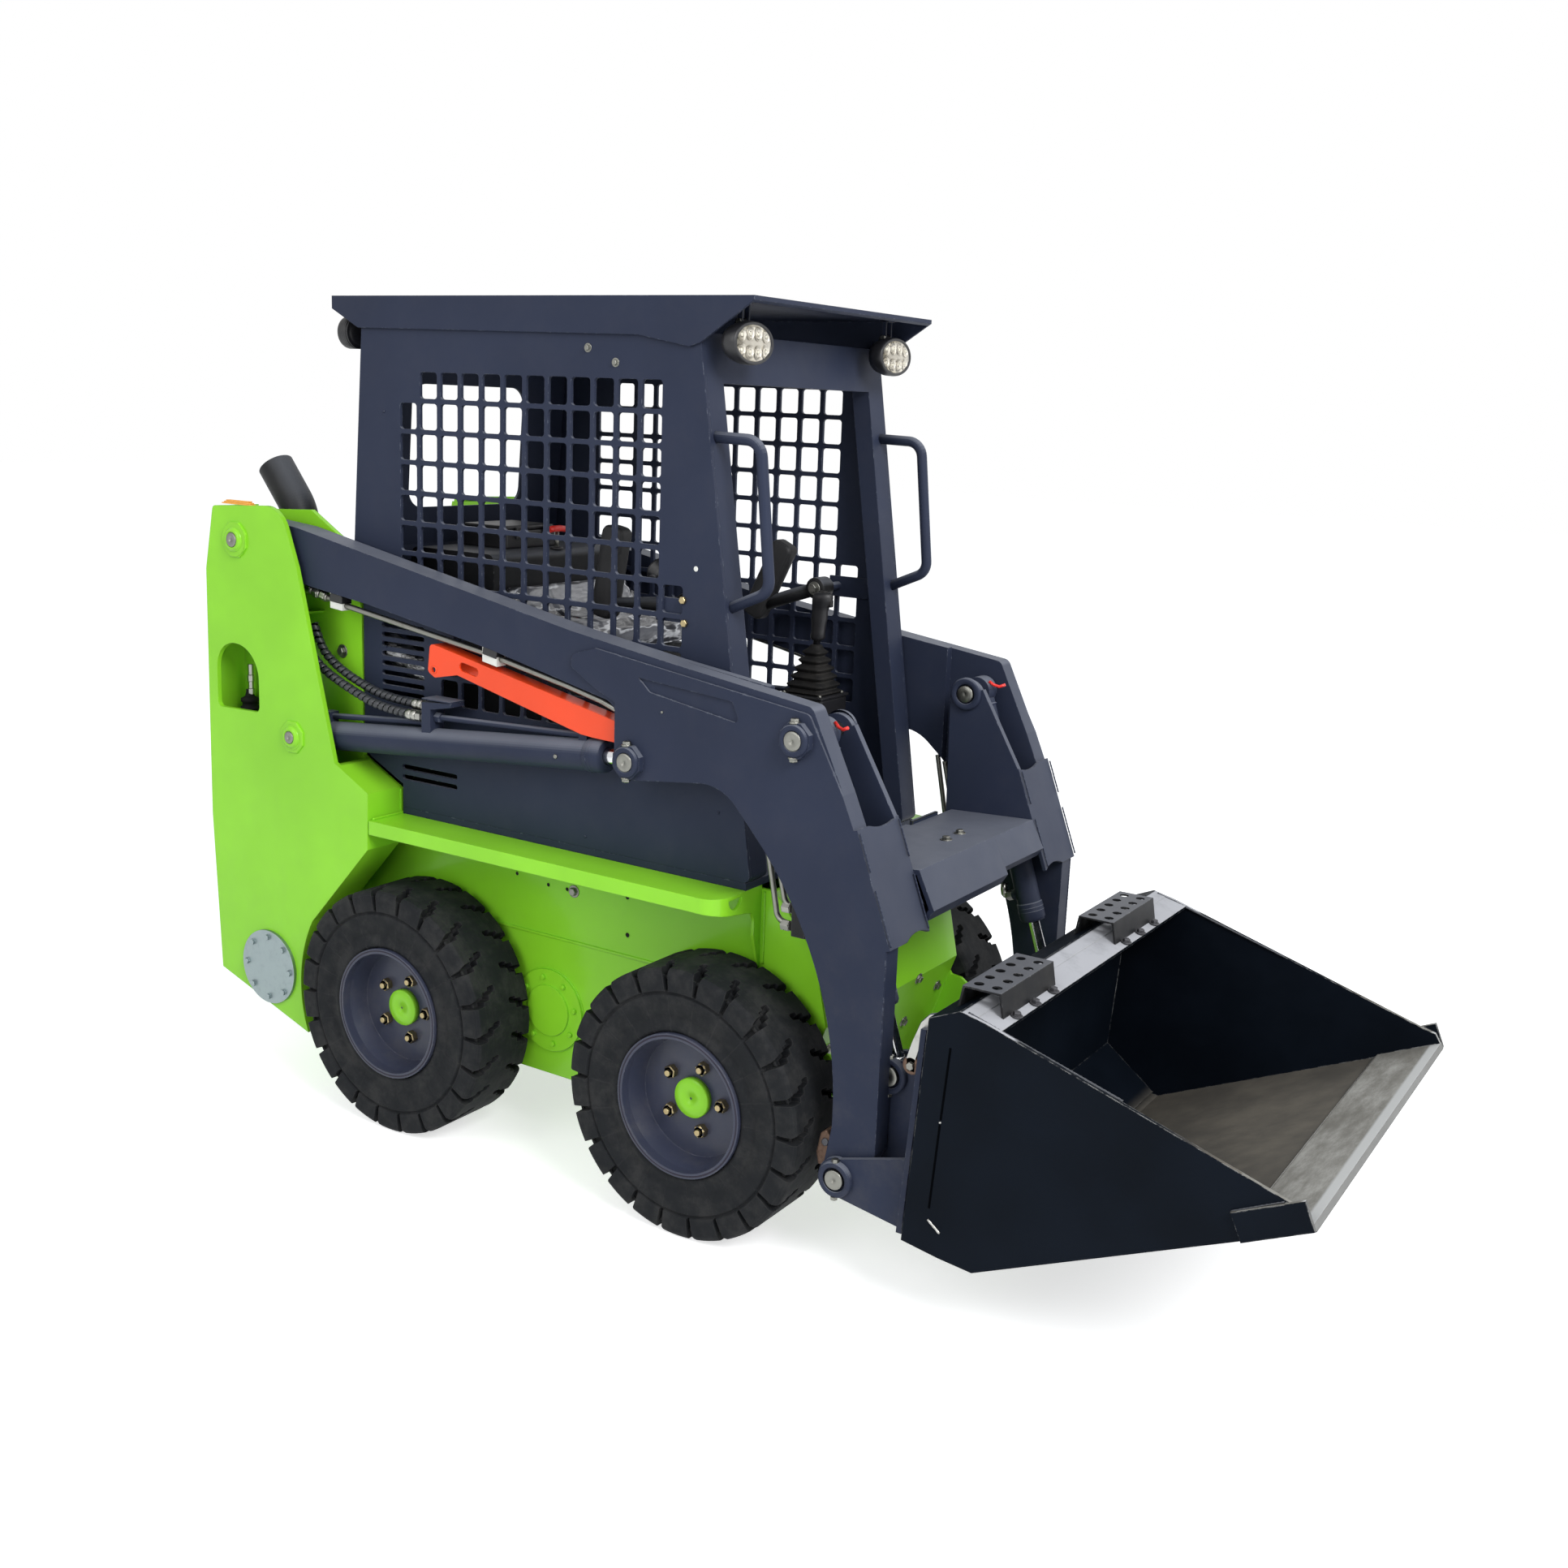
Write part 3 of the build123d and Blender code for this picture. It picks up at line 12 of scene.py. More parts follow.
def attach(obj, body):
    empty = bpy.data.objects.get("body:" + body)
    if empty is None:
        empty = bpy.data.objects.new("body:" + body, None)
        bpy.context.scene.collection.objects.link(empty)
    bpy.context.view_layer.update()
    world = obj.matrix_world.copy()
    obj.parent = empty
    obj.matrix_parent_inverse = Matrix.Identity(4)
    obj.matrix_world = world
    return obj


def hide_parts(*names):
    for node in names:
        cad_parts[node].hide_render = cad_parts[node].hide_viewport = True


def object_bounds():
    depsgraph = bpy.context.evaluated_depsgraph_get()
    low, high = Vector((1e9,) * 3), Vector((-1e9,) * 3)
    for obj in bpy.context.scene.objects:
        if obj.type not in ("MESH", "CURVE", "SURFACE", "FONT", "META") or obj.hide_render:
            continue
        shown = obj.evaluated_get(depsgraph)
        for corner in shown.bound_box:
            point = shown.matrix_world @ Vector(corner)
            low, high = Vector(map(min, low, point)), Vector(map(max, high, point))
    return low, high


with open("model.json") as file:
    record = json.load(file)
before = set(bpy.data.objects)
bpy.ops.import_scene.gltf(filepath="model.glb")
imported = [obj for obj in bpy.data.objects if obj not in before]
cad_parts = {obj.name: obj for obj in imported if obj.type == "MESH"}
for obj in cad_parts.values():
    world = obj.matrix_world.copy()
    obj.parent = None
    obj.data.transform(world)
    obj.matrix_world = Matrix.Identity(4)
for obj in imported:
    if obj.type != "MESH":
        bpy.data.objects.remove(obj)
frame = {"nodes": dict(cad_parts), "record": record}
cad_box = [list(corner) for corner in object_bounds()]
NODES = frame["nodes"]
MM = 0.001
OPEN, END, BOTH = (False, False), (False, True), (True, True)  # which ends of a skin are closed
MID_X = -0.338  # the mid-axle point of the CAD drawing, in the row frame
WHEEL_PLACES = ("front_right", "front_left", "rear_right", "rear_left")


# ------------------------------------------------ camera, stage and light
def link(name, data):
    """New object for the data, placed in the scene."""
    obj = bpy.data.objects.new(name, data)
    bpy.context.scene.collection.objects.link(obj)
    return obj


def make_camera():
    """Camera at the picture's viewing angle; turns in radians, lens and sensor in millimetres."""
    yaw, pitch, roll = 0.5537, 0.191, 0.0409
    ahead = Vector((-sin(yaw) * cos(pitch), cos(yaw) * cos(pitch), -sin(pitch)))
    right = Vector((cos(yaw), sin(yaw), 0))
    up = right.cross(ahead)
    right_rolled = right * cos(roll) + up * sin(roll)
    up_rolled = up * cos(roll) - right * sin(roll)
    data = bpy.data.cameras.new("camera")
    data.sensor_width = 36
    data.lens = 37.441304
    data.shift_x, data.shift_y = -0.020538, -0.038095
    data.clip_end = 200
    camera = link("camera", data)
    turn = Matrix((right_rolled, up_rolled, -ahead)).transposed().to_4x4()
    camera.matrix_world = Matrix.Translation((2.001, -3.089, 1.747)) @ turn
    bpy.context.scene.camera = camera


def make_light(name, place, target, size, power):
    data = bpy.data.lights.new(name, "AREA")
    data.shape = "DISK"
    data.size = size
    data.energy = power
    aim = (Vector(target) - Vector(place)).to_track_quat("-Z", "Y")
    link(name, data).matrix_world = Matrix.Translation(place) @ aim.to_matrix().to_4x4()


def seen(tree):
    """1 for rays from the camera, mirrored or through glass, and 0 for diffuse light."""
    path = tree.nodes.new("ShaderNodeLightPath")
    share = path.outputs["Is Camera Ray"]
    for kind in ("Is Transmission Ray", "Is Glossy Ray"):
        larger = tree.nodes.new("ShaderNodeMath")
        larger.operation = "MAXIMUM"
        tree.links.new(share, larger.inputs[0])
        tree.links.new(path.outputs[kind], larger.inputs[1])
        share = larger.outputs[0]
    return share


def make_world():
    """Even pale sky: white where the camera or a reflection sees it, softer as light."""
    world = bpy.data.worlds.new("studio")
    world.use_nodes = True
    tree = world.node_tree
    tree.nodes.clear()
    mix = tree.nodes.new("ShaderNodeMixShader")
    tree.links.new(seen(tree), mix.inputs[0])
    for slot, colour, strength in ((1, (0.92, 0.96, 1, 1), 0.55), (2, (1, 1, 1, 1), 1)):
        sky = tree.nodes.new("ShaderNodeBackground")
        sky.inputs["Color"].default_value = colour
        sky.inputs["Strength"].default_value = strength
        tree.links.new(sky.outputs[0], mix.inputs[slot])
    out = tree.nodes.new("ShaderNodeOutputWorld")
    tree.links.new(mix.outputs[0], out.inputs[0])
    bpy.context.scene.world = world


make_camera()
make_world()
make_light("key", (5.5, -2.6, 5.5), (0, 0, 0.8), 3.4, 400)
make_light("side", (-1.0, -6.5, 4.5), (0, 0, 0.8), 5, 150)
make_light("fill", (4, 5, 5), (0, 0, 0.8), 5, 90)
make_light("front", (6.5, -0.5, 1.0), (0, 0, 1.4), 3, 35)
bpy.context.scene.view_settings.view_transform = "Standard"


# ------------------------------------------------ materials
def linear(red, green, blue):
    """Linear colour from a display colour given as 0 to 255."""
    parts = [c / 255 for c in (red, green, blue)]
    return tuple(c / 12.92 if c <= 0.04045 else ((c + 0.055) / 1.055) ** 2.4 for c in parts) + (1,)


def shade(colour, factor):
    """Linear colour made lighter or darker, up to white."""
    return tuple(min(c * factor, 1) for c in colour[:3]) + (1,)


LOOKS = {}


class Look:
    """A material under construction: a principled shader and helpers that add nodes to it."""

    def __init__(self, name, **values):
        self.name = name  # Blender may number the material's own name
        self.material = bpy.data.materials.new(name)
        self.material.use_nodes = True
        self.tree = self.material.node_tree
        self.shader = self.tree.nodes["Principled BSDF"]
        for socket, value in values.items():
            self.shader.inputs[socket.replace("_", " ")].default_value = value
        self.place = self.tree.nodes.new("ShaderNodeTexCoord").outputs["Object"]

    def file(self):
        LOOKS[self.name] = self.material

    def node(self, kind, inputs=(), **settings):
        """New node; inputs maps each socket to another node's output or to a value."""
        made = self.tree.nodes.new("ShaderNode" + kind)
        for key, value in settings.items():
            setattr(made, key, value)
        for key, value in dict(inputs).items():
            if isinstance(value, bpy.types.NodeSocket):
                self.tree.links.new(value, made.inputs[key])
            else:
                made.inputs[key].default_value = value
        return made

    def noise(self, scale, detail=3, rough=0.55, stretch=None):
        place = self.place
        if stretch:
            place = self.node("Mapping", {"Vector": place, "Scale": stretch}).outputs[0]
        made = self.node("TexNoise", {"Vector": place, "Scale": scale, "Detail": detail, "Roughness": rough})
        return made.outputs["Fac"]

    def span(self, value, low, high, out_low=0.0, out_high=1.0):
        """Maps a value from low..high to out_low..out_high, clamped and smooth."""
        inputs = {0: value, 1: low, 2: high, 3: out_low, 4: out_high}
        return self.node("MapRange", inputs, interpolation_type="SMOOTHSTEP").outputs[0]

    def math(self, operation, *values):
        return self.node("Math", dict(enumerate(values)), operation=operation).outputs[0]

    def times(self, a, b):
        return self.math("MULTIPLY", a, b)

    def mix(self, share, a, b):
        return self.node("Mix", {0: share, 6: a, 7: b}, data_type="RGBA").outputs[2]

    def height(self):
        """Height above the ground at rest."""
        return self.node("SeparateXYZ", {0: self.place}).outputs[2]

    def ahead(self):
        """Distance forward at rest."""
        return self.node("SeparateXYZ", {0: self.place}).outputs[0]

    def facing_up(self):
        normal = self.node("NewGeometry").outputs["True Normal"]
        return self.node("SeparateXYZ", {0: normal}).outputs[2]

    def set(self, socket, value):
        self.tree.links.new(value, self.shader.inputs[socket])

    def roughness(self, grain, spread, least):
        """Roughness that follows a grain from the least value upwards."""
        self.set("Roughness", self.math("MULTIPLY_ADD", grain, spread, least))

    def bump(self, value, strength, distance, normal=None):
        made = self.node("Bump", {"Height": value, "Strength": strength, "Distance": distance})
        if normal:
            self.tree.links.new(normal, made.inputs["Normal"])
        self.set("Normal", made.outputs[0])

    def edges(self, radius):
        """Rounded normal and a mask that is 1 on outer and inner edges."""
        soft = self.node("Bevel", {"Radius": radius}, samples=4).outputs[0]
        flat = self.node("NewGeometry").outputs["Normal"]
        dot = self.node("VectorMath", {0: soft, 1: flat}, operation="DOT_PRODUCT").outputs["Value"]
        return soft, self.span(dot, 0.995, 0.9)


def paint(name, colour, worn, rough=0.35, coat=0.3, dust=0.1, chips=0.5, painted_sky_on_top=0.0, sheen=0.3):
    """Sprayed paint: orange peel, faint colour drift, dust low down, painted sky reflection that lightens the
    top faces, rubbed edges.
    """
    colour = linear(*colour)
    look = Look(name, Coat_Weight=coat, Coat_Roughness=0.14, Specular_IOR_Level=sheen)
    soft, edge = look.edges(0.003)
    drift = look.span(look.noise(2.2, 4), 0.3, 0.7)
    base = look.mix(drift, shade(colour, 0.9), shade(colour, 1.08))
    low = look.span(look.height(), 0.9, 0.15)
    film = look.span(look.noise(9, 6, 0.7), 0.42, 0.75)
    film = look.times(film, look.math("MULTIPLY_ADD", low, dust, dust * 0.25))
    base = look.mix(film, base, linear(122, 116, 104))
    # painted reflection of the sky: faces that look up are lightened towards a pale blue-grey
    if painted_sky_on_top:
        top = look.span(look.facing_up(), 0.18, 0.75, 0, painted_sky_on_top)
        top = look.times(top, look.span(look.noise(5, 5, 0.6), 0.2, 0.75, 0.72, 1.0))
        base = look.mix(top, base, linear(158, 162, 172))
    rub = look.times(edge, look.span(look.noise(60, 4, 0.7), 0.52, 0.66, 0, chips))
    look.set("Base Color", look.mix(rub, base, linear(*worn)))
    look.roughness(look.noise(24, 5), 0.2, rough - 0.1)
    look.bump(look.noise(380, 2), 0.05, 0.0004, soft)
    look.file()


def bucket_paint(name):
    """Black paint of the bucket: dusty floor, scuffed cutting edge, pale front strip on the top flange."""
    look = Look(name, Specular_IOR_Level=0.05)
    soft, edge = look.edges(0.003)
    drift = look.span(look.noise(3, 5), 0.3, 0.7)
    base = look.mix(drift, linear(9, 14, 21), linear(15, 21, 30))
    up = look.span(look.facing_up(), 0.25, 0.8)
    x = look.ahead()
    floor = look.times(up, look.span(look.height(), 0.55, 0.5))
    floor = look.times(floor, look.span(x, 0.76, 0.8))
    dust = look.mix(look.span(look.noise(6, 6, 0.65), 0.3, 0.72), linear(88, 85, 80), linear(112, 107, 98))
    base = look.mix(look.times(floor, 0.92), base, dust)
    scuffs = look.span(look.noise(7, 8, 0.75, (1, 0.35, 1)), 0.4, 0.72)
    blade = look.times(floor, look.span(x, 1.283, 1.287))
    worn = look.mix(scuffs, linear(120, 118, 112), linear(176, 175, 170))
    base = look.mix(blade, base, worn)
    tip = look.times(blade, look.span(x, 1.388, 1.396))
    base = look.mix(tip, base, linear(196, 197, 196))
    high = look.span(look.height(), 0.63, 0.635)
    strip = look.times(look.times(up, high), look.span(x, 0.741, 0.745))
    strip = look.times(strip, look.span(look.noise(11, 6, 0.7), 0.2, 0.5, 0.75, 1))
    base = look.mix(strip, base, linear(172, 173, 178))
    rub = look.times(edge, look.span(look.noise(45, 4, 0.7), 0.42, 0.6, 0, 0.75))
    outer = look.times(rub, look.span(look.height(), 0.3, 0.42, 0.25, 1))
    look.set("Base Color", look.mix(outer, base, linear(176, 176, 174)))
    look.roughness(look.noise(24, 5), 0.2, 0.45)
    look.bump(look.noise(300, 3), 0.08, 0.0005, soft)
    look.file()


def rubber(name, colour, dust=0.5, dust_colour=(98, 94, 88)):
    dust_colour = linear(*dust_colour)
    look = Look(name, Specular_IOR_Level=0.16)
    soft, edge = look.edges(0.003)
    patches = look.span(look.noise(14, 6, 0.7), 0.4, 0.7, 0, dust)
    base = look.mix(patches, linear(*colour), dust_colour)
    base = look.mix(look.times(edge, 0.35), base, dust_colour)
    look.set("Base Color", base)
    look.roughness(look.noise(40, 4), 0.25, 0.62)
    look.bump(look.noise(500, 3), 0.18, 0.0006, soft)
    look.file()


def metal(name, colour, rough, grime=0.3):
    colour = linear(*colour)
    look = Look(name, Metallic=1.0)
    soft, _ = look.edges(0.0012)
    grain = look.noise(60, 5, 0.65)
    look.set("Base Color", look.mix(look.span(grain, 0.5, 0.8, 0, grime), colour, shade(colour, 0.35)))
    look.roughness(grain, 0.25, rough - 0.1)
    look.bump(grain, 0.08, 0.0004, soft)
    look.file()


def plastic(name, colour, rough=0.45, grain=900, shine=0.5):
    colour = linear(*colour)
    look = Look(name, Specular_IOR_Level=shine)
    soft, _ = look.edges(0.0015)
    drift = look.span(look.noise(6, 3), 0.35, 0.7)
    lighter = tuple(c * 1.25 for c in colour[:3]) + (1,)
    look.set("Base Color", look.mix(drift, colour, lighter))
    look.roughness(look.noise(35, 3), 0.15, rough - 0.07)
    look.bump(look.noise(grain, 2), 0.12, 0.0003, soft)
    look.file()


def glass(name):
    """Clear lamp lens with faint flutes."""
    tint = (0.97, 0.98, 1, 1)
    look = Look(name, Roughness=0.04, IOR=1.35, Transmission_Weight=1.0, Base_Color=tint)
    look.bump(look.noise(220, 1), 0.05, 0.0004)
    look.file()


def foil(name):
    """Crumpled aluminium sleeve, with painted shade and highlight: darker in the crumple's hollows, lighter
    on its ridges.
    """
    look = Look(name, Metallic=1.0, Roughness=0.32)
    crumple = look.noise(24, 5, 0.6, (1, 1, 2))
    # painted shade and highlight: the colour follows the crumple's height, dark in hollows and bright on
    # ridges
    share = look.span(crumple, 0.35, 0.65)
    look.set("Base Color", look.mix(share, linear(90, 90, 92), linear(196, 198, 200)))
    look.bump(crumple, 0.9, 0.01)
    look.file()


def wrapped(name):
    """Dark seat cloth under crumpled clear film: painted highlights of the film, lighter grey patches and
    white lines along the creases, over black.
    """
    look = Look(name, Coat_Weight=1.0, Coat_Roughness=0.12, Specular_IOR_Level=0.5)
    crease = look.noise(11, 4, 0.55, (1, 0.4, 1))
    # painted highlight: white lines where the film creases, and lighter grey patches, stand for the film's
    # glints
    painted_crease_glint = look.span(look.math("ABSOLUTE", look.math("SUBTRACT", crease, 0.5)), 0.028, 0.0)
    base = look.mix(look.span(crease, 0.4, 0.62), linear(40, 40, 44), linear(110, 112, 118))
    look.set("Base Color", look.mix(look.times(painted_crease_glint, 0.75), base, linear(214, 216, 220)))
    look.roughness(crease, 0.3, 0.15)
    look.bump(crease, 0.6, 0.012)
    look.file()


paint("green_paint", (142, 216, 44), (90, 120, 50), 0.36, 0.25, 0.06, 0.3, sheen=0.2)
paint("slate_paint", (44, 50, 68), (140, 146, 158), 0.5, 0.0, 0.1, 0.5, 0.36, 0.12)
paint("rim_paint", (54, 58, 76), (120, 120, 130), 0.4, 0.1, 0.12, sheen=0.3)
paint("orange_paint", (240, 72, 24), (120, 60, 40), 0.35, 0.3, 0.05, sheen=0.3)
paint("black_paint", (20, 21, 24), (150, 150, 150), 0.5, 0.0, 0.1, 0.6, 0.25, 0.25)
bucket_paint("bucket_paint")
rubber("tread_rubber", (25, 27, 30), 0.34, (70, 69, 68))
rubber("soft_rubber", (22, 22, 23), 0.12)
metal("steel", (132, 132, 126), 0.36)
metal("chrome", (215, 216, 218), 0.12, 0.15)
metal("cover_steel", (146, 158, 160), 0.42, 0.15)
plastic("black_plastic", (24, 24, 27))
plastic("lamp", (200, 204, 206), 0.2)
metal("iron", (90, 90, 94), 0.6, 0.6)
wrapped("seat_cover")
plastic("white_plastic", (214, 214, 208), 0.5)
metal("brass_zinc", (172, 156, 118), 0.36, 0.4)
metal("rim_lip", (52, 50, 60), 0.3, 0.5)
metal("nickel", (160, 160, 154), 0.28, 0.4)
metal("nickel_dark", (84, 86, 80), 0.38, 0.5)
metal("rust", (112, 92, 80), 0.65, 0.8)
metal("bare_edge", (176, 176, 172), 0.45, 0.4)
metal("reflector", (206, 200, 186), 0.3, 0.3)
plastic("led", (236, 231, 212), 0.3)
glass("lens")
plastic("red_plastic", (214, 44, 36), 0.35)
plastic("orange_cord", (226, 160, 70), 0.6)
plastic("pad_foam", (22, 22, 24), 0.62, 1400)
# gap_black: near-black matte with almost no sheen, put in slots and grooves as painted shade
plastic("gap_black", (3, 4, 6), 0.9, shine=0.02)
plastic("wrap_plastic", (46, 48, 52), 0.4)
foil("foil")
BY_NODE = {"bucket": "bucket_paint", **{f"rim_{p}": "rim_paint" for p in WHEEL_PLACES}}

for part in frame["record"]["subparts"]:
    node = NODES[part["node"]]
    node.data.materials.clear()
    node.data.materials.append(LOOKS[BY_NODE.get(part["node"], part["material_slot"])])


# ------------------------------------------------ mesh helpers, in the CAD drawing's millimetres
def at(x, y, z):
    """Point of the CAD drawing, in metres in the row frame."""
    return Vector((x * MM + MID_X, y * MM, z * MM))


def turns(count, first=0.0):
    """Angles evenly spaced round a circle."""
    return [2 * pi * i / count + first for i in range(count)]


class Shape:
    """Mesh under construction. Points are in the drawing's millimetres, and a look is a name in LOOKS."""

    def __init__(self):
        self.bm = bmesh.new()
        self.looks = []

    def look(self, material):
        """Index of a look in this mesh, added when it is new."""
        if material not in self.looks:
            self.looks.append(material)
        return self.looks.index(material)

    def rows(self, rows, look, caps=OPEN, smooth=True, low=None):
        """Skin through rings of points. low holds another look and a test for the places that get it."""
        slot = self.look(look)
        other_slot = self.look(low[0]) if low else slot
        made = [[self.bm.verts.new(at(*p)) for p in row] for row in rows]
        count = len(made[0])
        for row, (a, b) in enumerate(zip(made, made[1:])):
            for i in range(count):
                j = (i + 1) % count
                face = self.bm.faces.new((a[i], a[j], b[j], b[i]))
                face.material_index = other_slot if low and low[1](row, i) else slot
                face.smooth = smooth
        for ring, wanted in ((made[0][::-1], caps[0]), (made[-1], caps[1])):
            if wanted:
                face = self.bm.faces.new(ring)
                face.material_index = slot
        return made

    def lathe(self, base, axis, profile, look, segments=32, caps=BOTH, turn=0.0, sides=None):
        """Turned solid: profile is (radius, distance along axis); sides makes it a polygon."""
        axis = Vector(axis).normalized()
        across = axis.orthogonal().normalized() if abs(axis.y) < 0.9 else Vector((1, 0, 0))
        other = axis.cross(across)
        rows = []
        for radius, along in profile:
            centre = Vector(base) + axis * along
            around = turns(sides or segments, turn)
            rows.append([centre + (across * cos(a) + other * sin(a)) * radius for a in around])
        self.rows(rows, look, caps, not sides)

    def tube(self, points, radius, look, segments=12, low=None):
        """Round tube along points; radius may be a function of the distance along and the angle round it.
        low gives a look for the places whose radius is under a limit."""
        points = [Vector(p) for p in points]
        frame_side = None
        rows, travelled, reach = [], 0.0, []
        for i, p in enumerate(points):
            ahead = (points[min(i + 1, len(points) - 1)] - points[max(i - 1, 0)]).normalized()
            if frame_side is None:
                frame_side = ahead.orthogonal().normalized()
            frame_side = (frame_side - ahead * frame_side.dot(ahead)).normalized()
            other = ahead.cross(frame_side)
            if i:
                travelled += (p - points[i - 1]).length
            ring = []
            for a in turns(segments):
                r = radius(travelled, a) if callable(radius) else radius
                reach.append(r)
                ring.append(p + (frame_side * cos(a) + other * sin(a)) * r)
            rows.append(ring)
        if low:
            low = (low[0], lambda row, column, limit=low[1]: reach[row * segments + column] < limit)
        self.rows(rows, look, BOTH, low=low)

    def solid(self, ring, push, look, bevel=0.0):
        """Prism on any flat ring of points, pushed along a vector, with its edges rounded."""
        slot = self.look(look)
        push = Vector(push)
        low = [self.bm.verts.new(at(*p)) for p in ring]
        high = [self.bm.verts.new(at(*(Vector(p) + push))) for p in ring]
        faces = [self.bm.faces.new(low[::-1]), self.bm.faces.new(high)]
        for i in range(len(ring)):
            j = (i + 1) % len(ring)
            faces.append(self.bm.faces.new((low[i], low[j], high[j], high[i])))
        for face in faces:
            face.material_index = slot
        if bevel:
            edges = list(dict.fromkeys(edge for face in faces for edge in face.edges))
            bmesh.ops.bevel(self.bm, geom=edges, offset=bevel * MM, segments=2, affect="EDGES", profile=0.6)

    def block(self, low, high, look, bevel=2.0):
        (x0, y0, z0), (x1, y1, z1) = low, high
        self.solid([(x0, y0, z0), (x1, y0, z0), (x1, y0, z1), (x0, y0, z1)], (0, y1 - y0, 0), look, bevel)

    def bolt(self, base, axis, size, look, washer=None, height=None, stud=False):
        """Hexagon head or nut on an optional washer; size is the distance from centre to corner."""
        height = height or size * 0.75
        lift = 0.0
        if washer:
            lift = size * 0.22
            disc = [(size * 1.5, -0.5), (size * 1.5, lift * 0.7), (size * 1.4, lift)]
            self.lathe(base, axis, disc, washer, 24)
        top = lift + height
        profile = [(size, lift), (size, top - size * 0.16), (size * 0.84, top)]
        self.lathe(base, axis, profile, look, sides=6, turn=random.Random(str(base)).uniform(0, 1))
        if stud:
            reach = top + size * 0.45
            thread = [(size * 0.48, top - 1), (size * 0.48, reach - 1), (size * 0.4, reach)]
            self.lathe(base, axis, thread, look, 14)

    def mirror(self):
        """Adds the mirror image on the machine's other side."""
        copies = bmesh.ops.duplicate(self.bm, geom=self.bm.verts[:] + self.bm.edges[:] + self.bm.faces[:])
        faces = [g for g in copies["geom"] if isinstance(g, bmesh.types.BMFace)]
        for vert in {v for f in faces for v in f.verts}:
            vert.co.y = -vert.co.y
        bmesh.ops.reverse_faces(self.bm, faces=faces)

    def loose(self, name):
        """Object on its own, not yet riding on a body."""
        bmesh.ops.recalc_face_normals(self.bm, faces=self.bm.faces)
        mesh = bpy.data.meshes.new(name)
        self.bm.to_mesh(mesh)
        self.bm.free()
        for look in self.looks:
            mesh.materials.append(LOOKS[look])
        return link(name, mesh)

    def done(self, name, body, *replaced, mirror=False, slot=None):
        if mirror:
            self.mirror()
        return dress(self.loose(name), body, *replaced, slot=slot)


def dress(obj, body, *replaced, slot=None):
    """The object rides on a body, in the place of the solids that it replaces."""
    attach(obj, body)
    if replaced:
        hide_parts(*replaced)
    return obj


def subdivide(obj):
    mod = obj.modifiers.new("smooth", "SUBSURF")
    mod.levels = mod.render_levels = 1


def rounded(points, radii):
    """Path through points with each inner corner turned on an arc of eight steps."""
    points = [Vector(p) for p in points]
    path = [points[0]]
    for before, corner, after, radius in zip(points, points[1:], points[2:], radii):
        into, out = (before - corner).normalized(), (after - corner).normalized()
        half = into.angle(out) / 2
        reach = radius / tan(half)
        centre = corner + (into + out).normalized() * (radius / sin(half))
        start, end = corner + into * reach - centre, corner + out * reach - centre
        path += [centre + turn_between(start, end, i / 8) for i in range(9)]
    path.append(points[-1])
    return path


def turn_between(start, end, share):
    """Point on the arc between two arms of equal length."""
    angle = start.angle(end)
    return (start * sin((1 - share) * angle) + end * sin(share * angle)) / sin(angle)


def weld(shape, points, look, width=4.0, seed=1):
    """Weld bead: a low rippled tube along a seam."""
    path, points = [], [Vector(p) for p in points]
    for a, b in zip(points, points[1:]):
        steps = max(2, int((b - a).length / 4))
        path += [a.lerp(b, i / steps) for i in range(steps)]
    path.append(points[-1])
    phase = random.Random(seed).uniform(0, 6)
    shape.tube(path, lambda along, _: width * (1 + 0.16 * sin(along * 0.9 + phase)), look, 6)


# ------------------------------------------------ wheels
AXLE_Z, TYRE_R, TYRE_FACE, TYRE_WIDTH = 297, 297, 495, 178
DISC_DEPTH = 64  # of the rim's disc behind the tyre's face
WHEELS = {"front_right": (430, -1), "front_left": (430, 1), "rear_right": (-430, -1), "rear_left": (-430, 1)}
LUGS = 22
# half of the tyre's section, from the bead outwards: (radius, depth from the outer face)
WALL = [(156, -16), (160, -6), (166, -3), (176, -4), (180, -6), (196, -6), (198, -3.6), (232, -3)]
WALL += [(236, -1.6), (240, -1.6), (241.5, -6.5), (246, -6.5)]
# then the lugs, to the middle of the tread:
# (radius, depth, groove width, groove depth, groove centre, flow of the cut: 0 inwards, 1 to the hub)
TREAD = [
    (248, -1, 8, 6, 0, 0),
    (250, 0, 10, 12, 0, 0),
    (268, 0, 11, 15, 0, 0),
    (286, -0.4, 13, 18, 0, 0.3),
    (291.5, -3, 16, 20, 1, 0.6),
    (296, -8, 19, 22, 2, 0.9),
    (297, -12, 21, 24, 3, 1),
    (297, -30, 22, 24, 4, 1),
    (297, -31.5, 20, 24, 13, 1),
    (297, -48, 19, 24, 15, 1),
    (297, -49.5, 15, 23, 24, 1),
    (297, -64, 13, 20, 26, 1),
    (297, -69, 10, 12, 27, 1),
    (297, -71, 3, 0, 27, 1),
    (297, -80, 3, 0, 27, 1),
    (297, -89, 3, 0, 27, 1),
]
HALF_SECTION = [(radius, depth, 0, 0, 0, 0) for radius, depth in WALL] + TREAD


def tread_stops(pitch, width, centre):
    """Stations along one pitch of the tread, and 1 where they lie in the groove."""
    low, high = centre - width / 2, centre + width / 2
    lug = pitch - width - 2.4
    stops = [(low - 1.2, 0), (low + 1.0, 1), (high - 1.0, 1), (high + 1.2, 0)]
    return stops + [(high + 1.2 + lug * share, 0) for share in (0.08, 0.3, 0.52, 0.74, 0.94)]


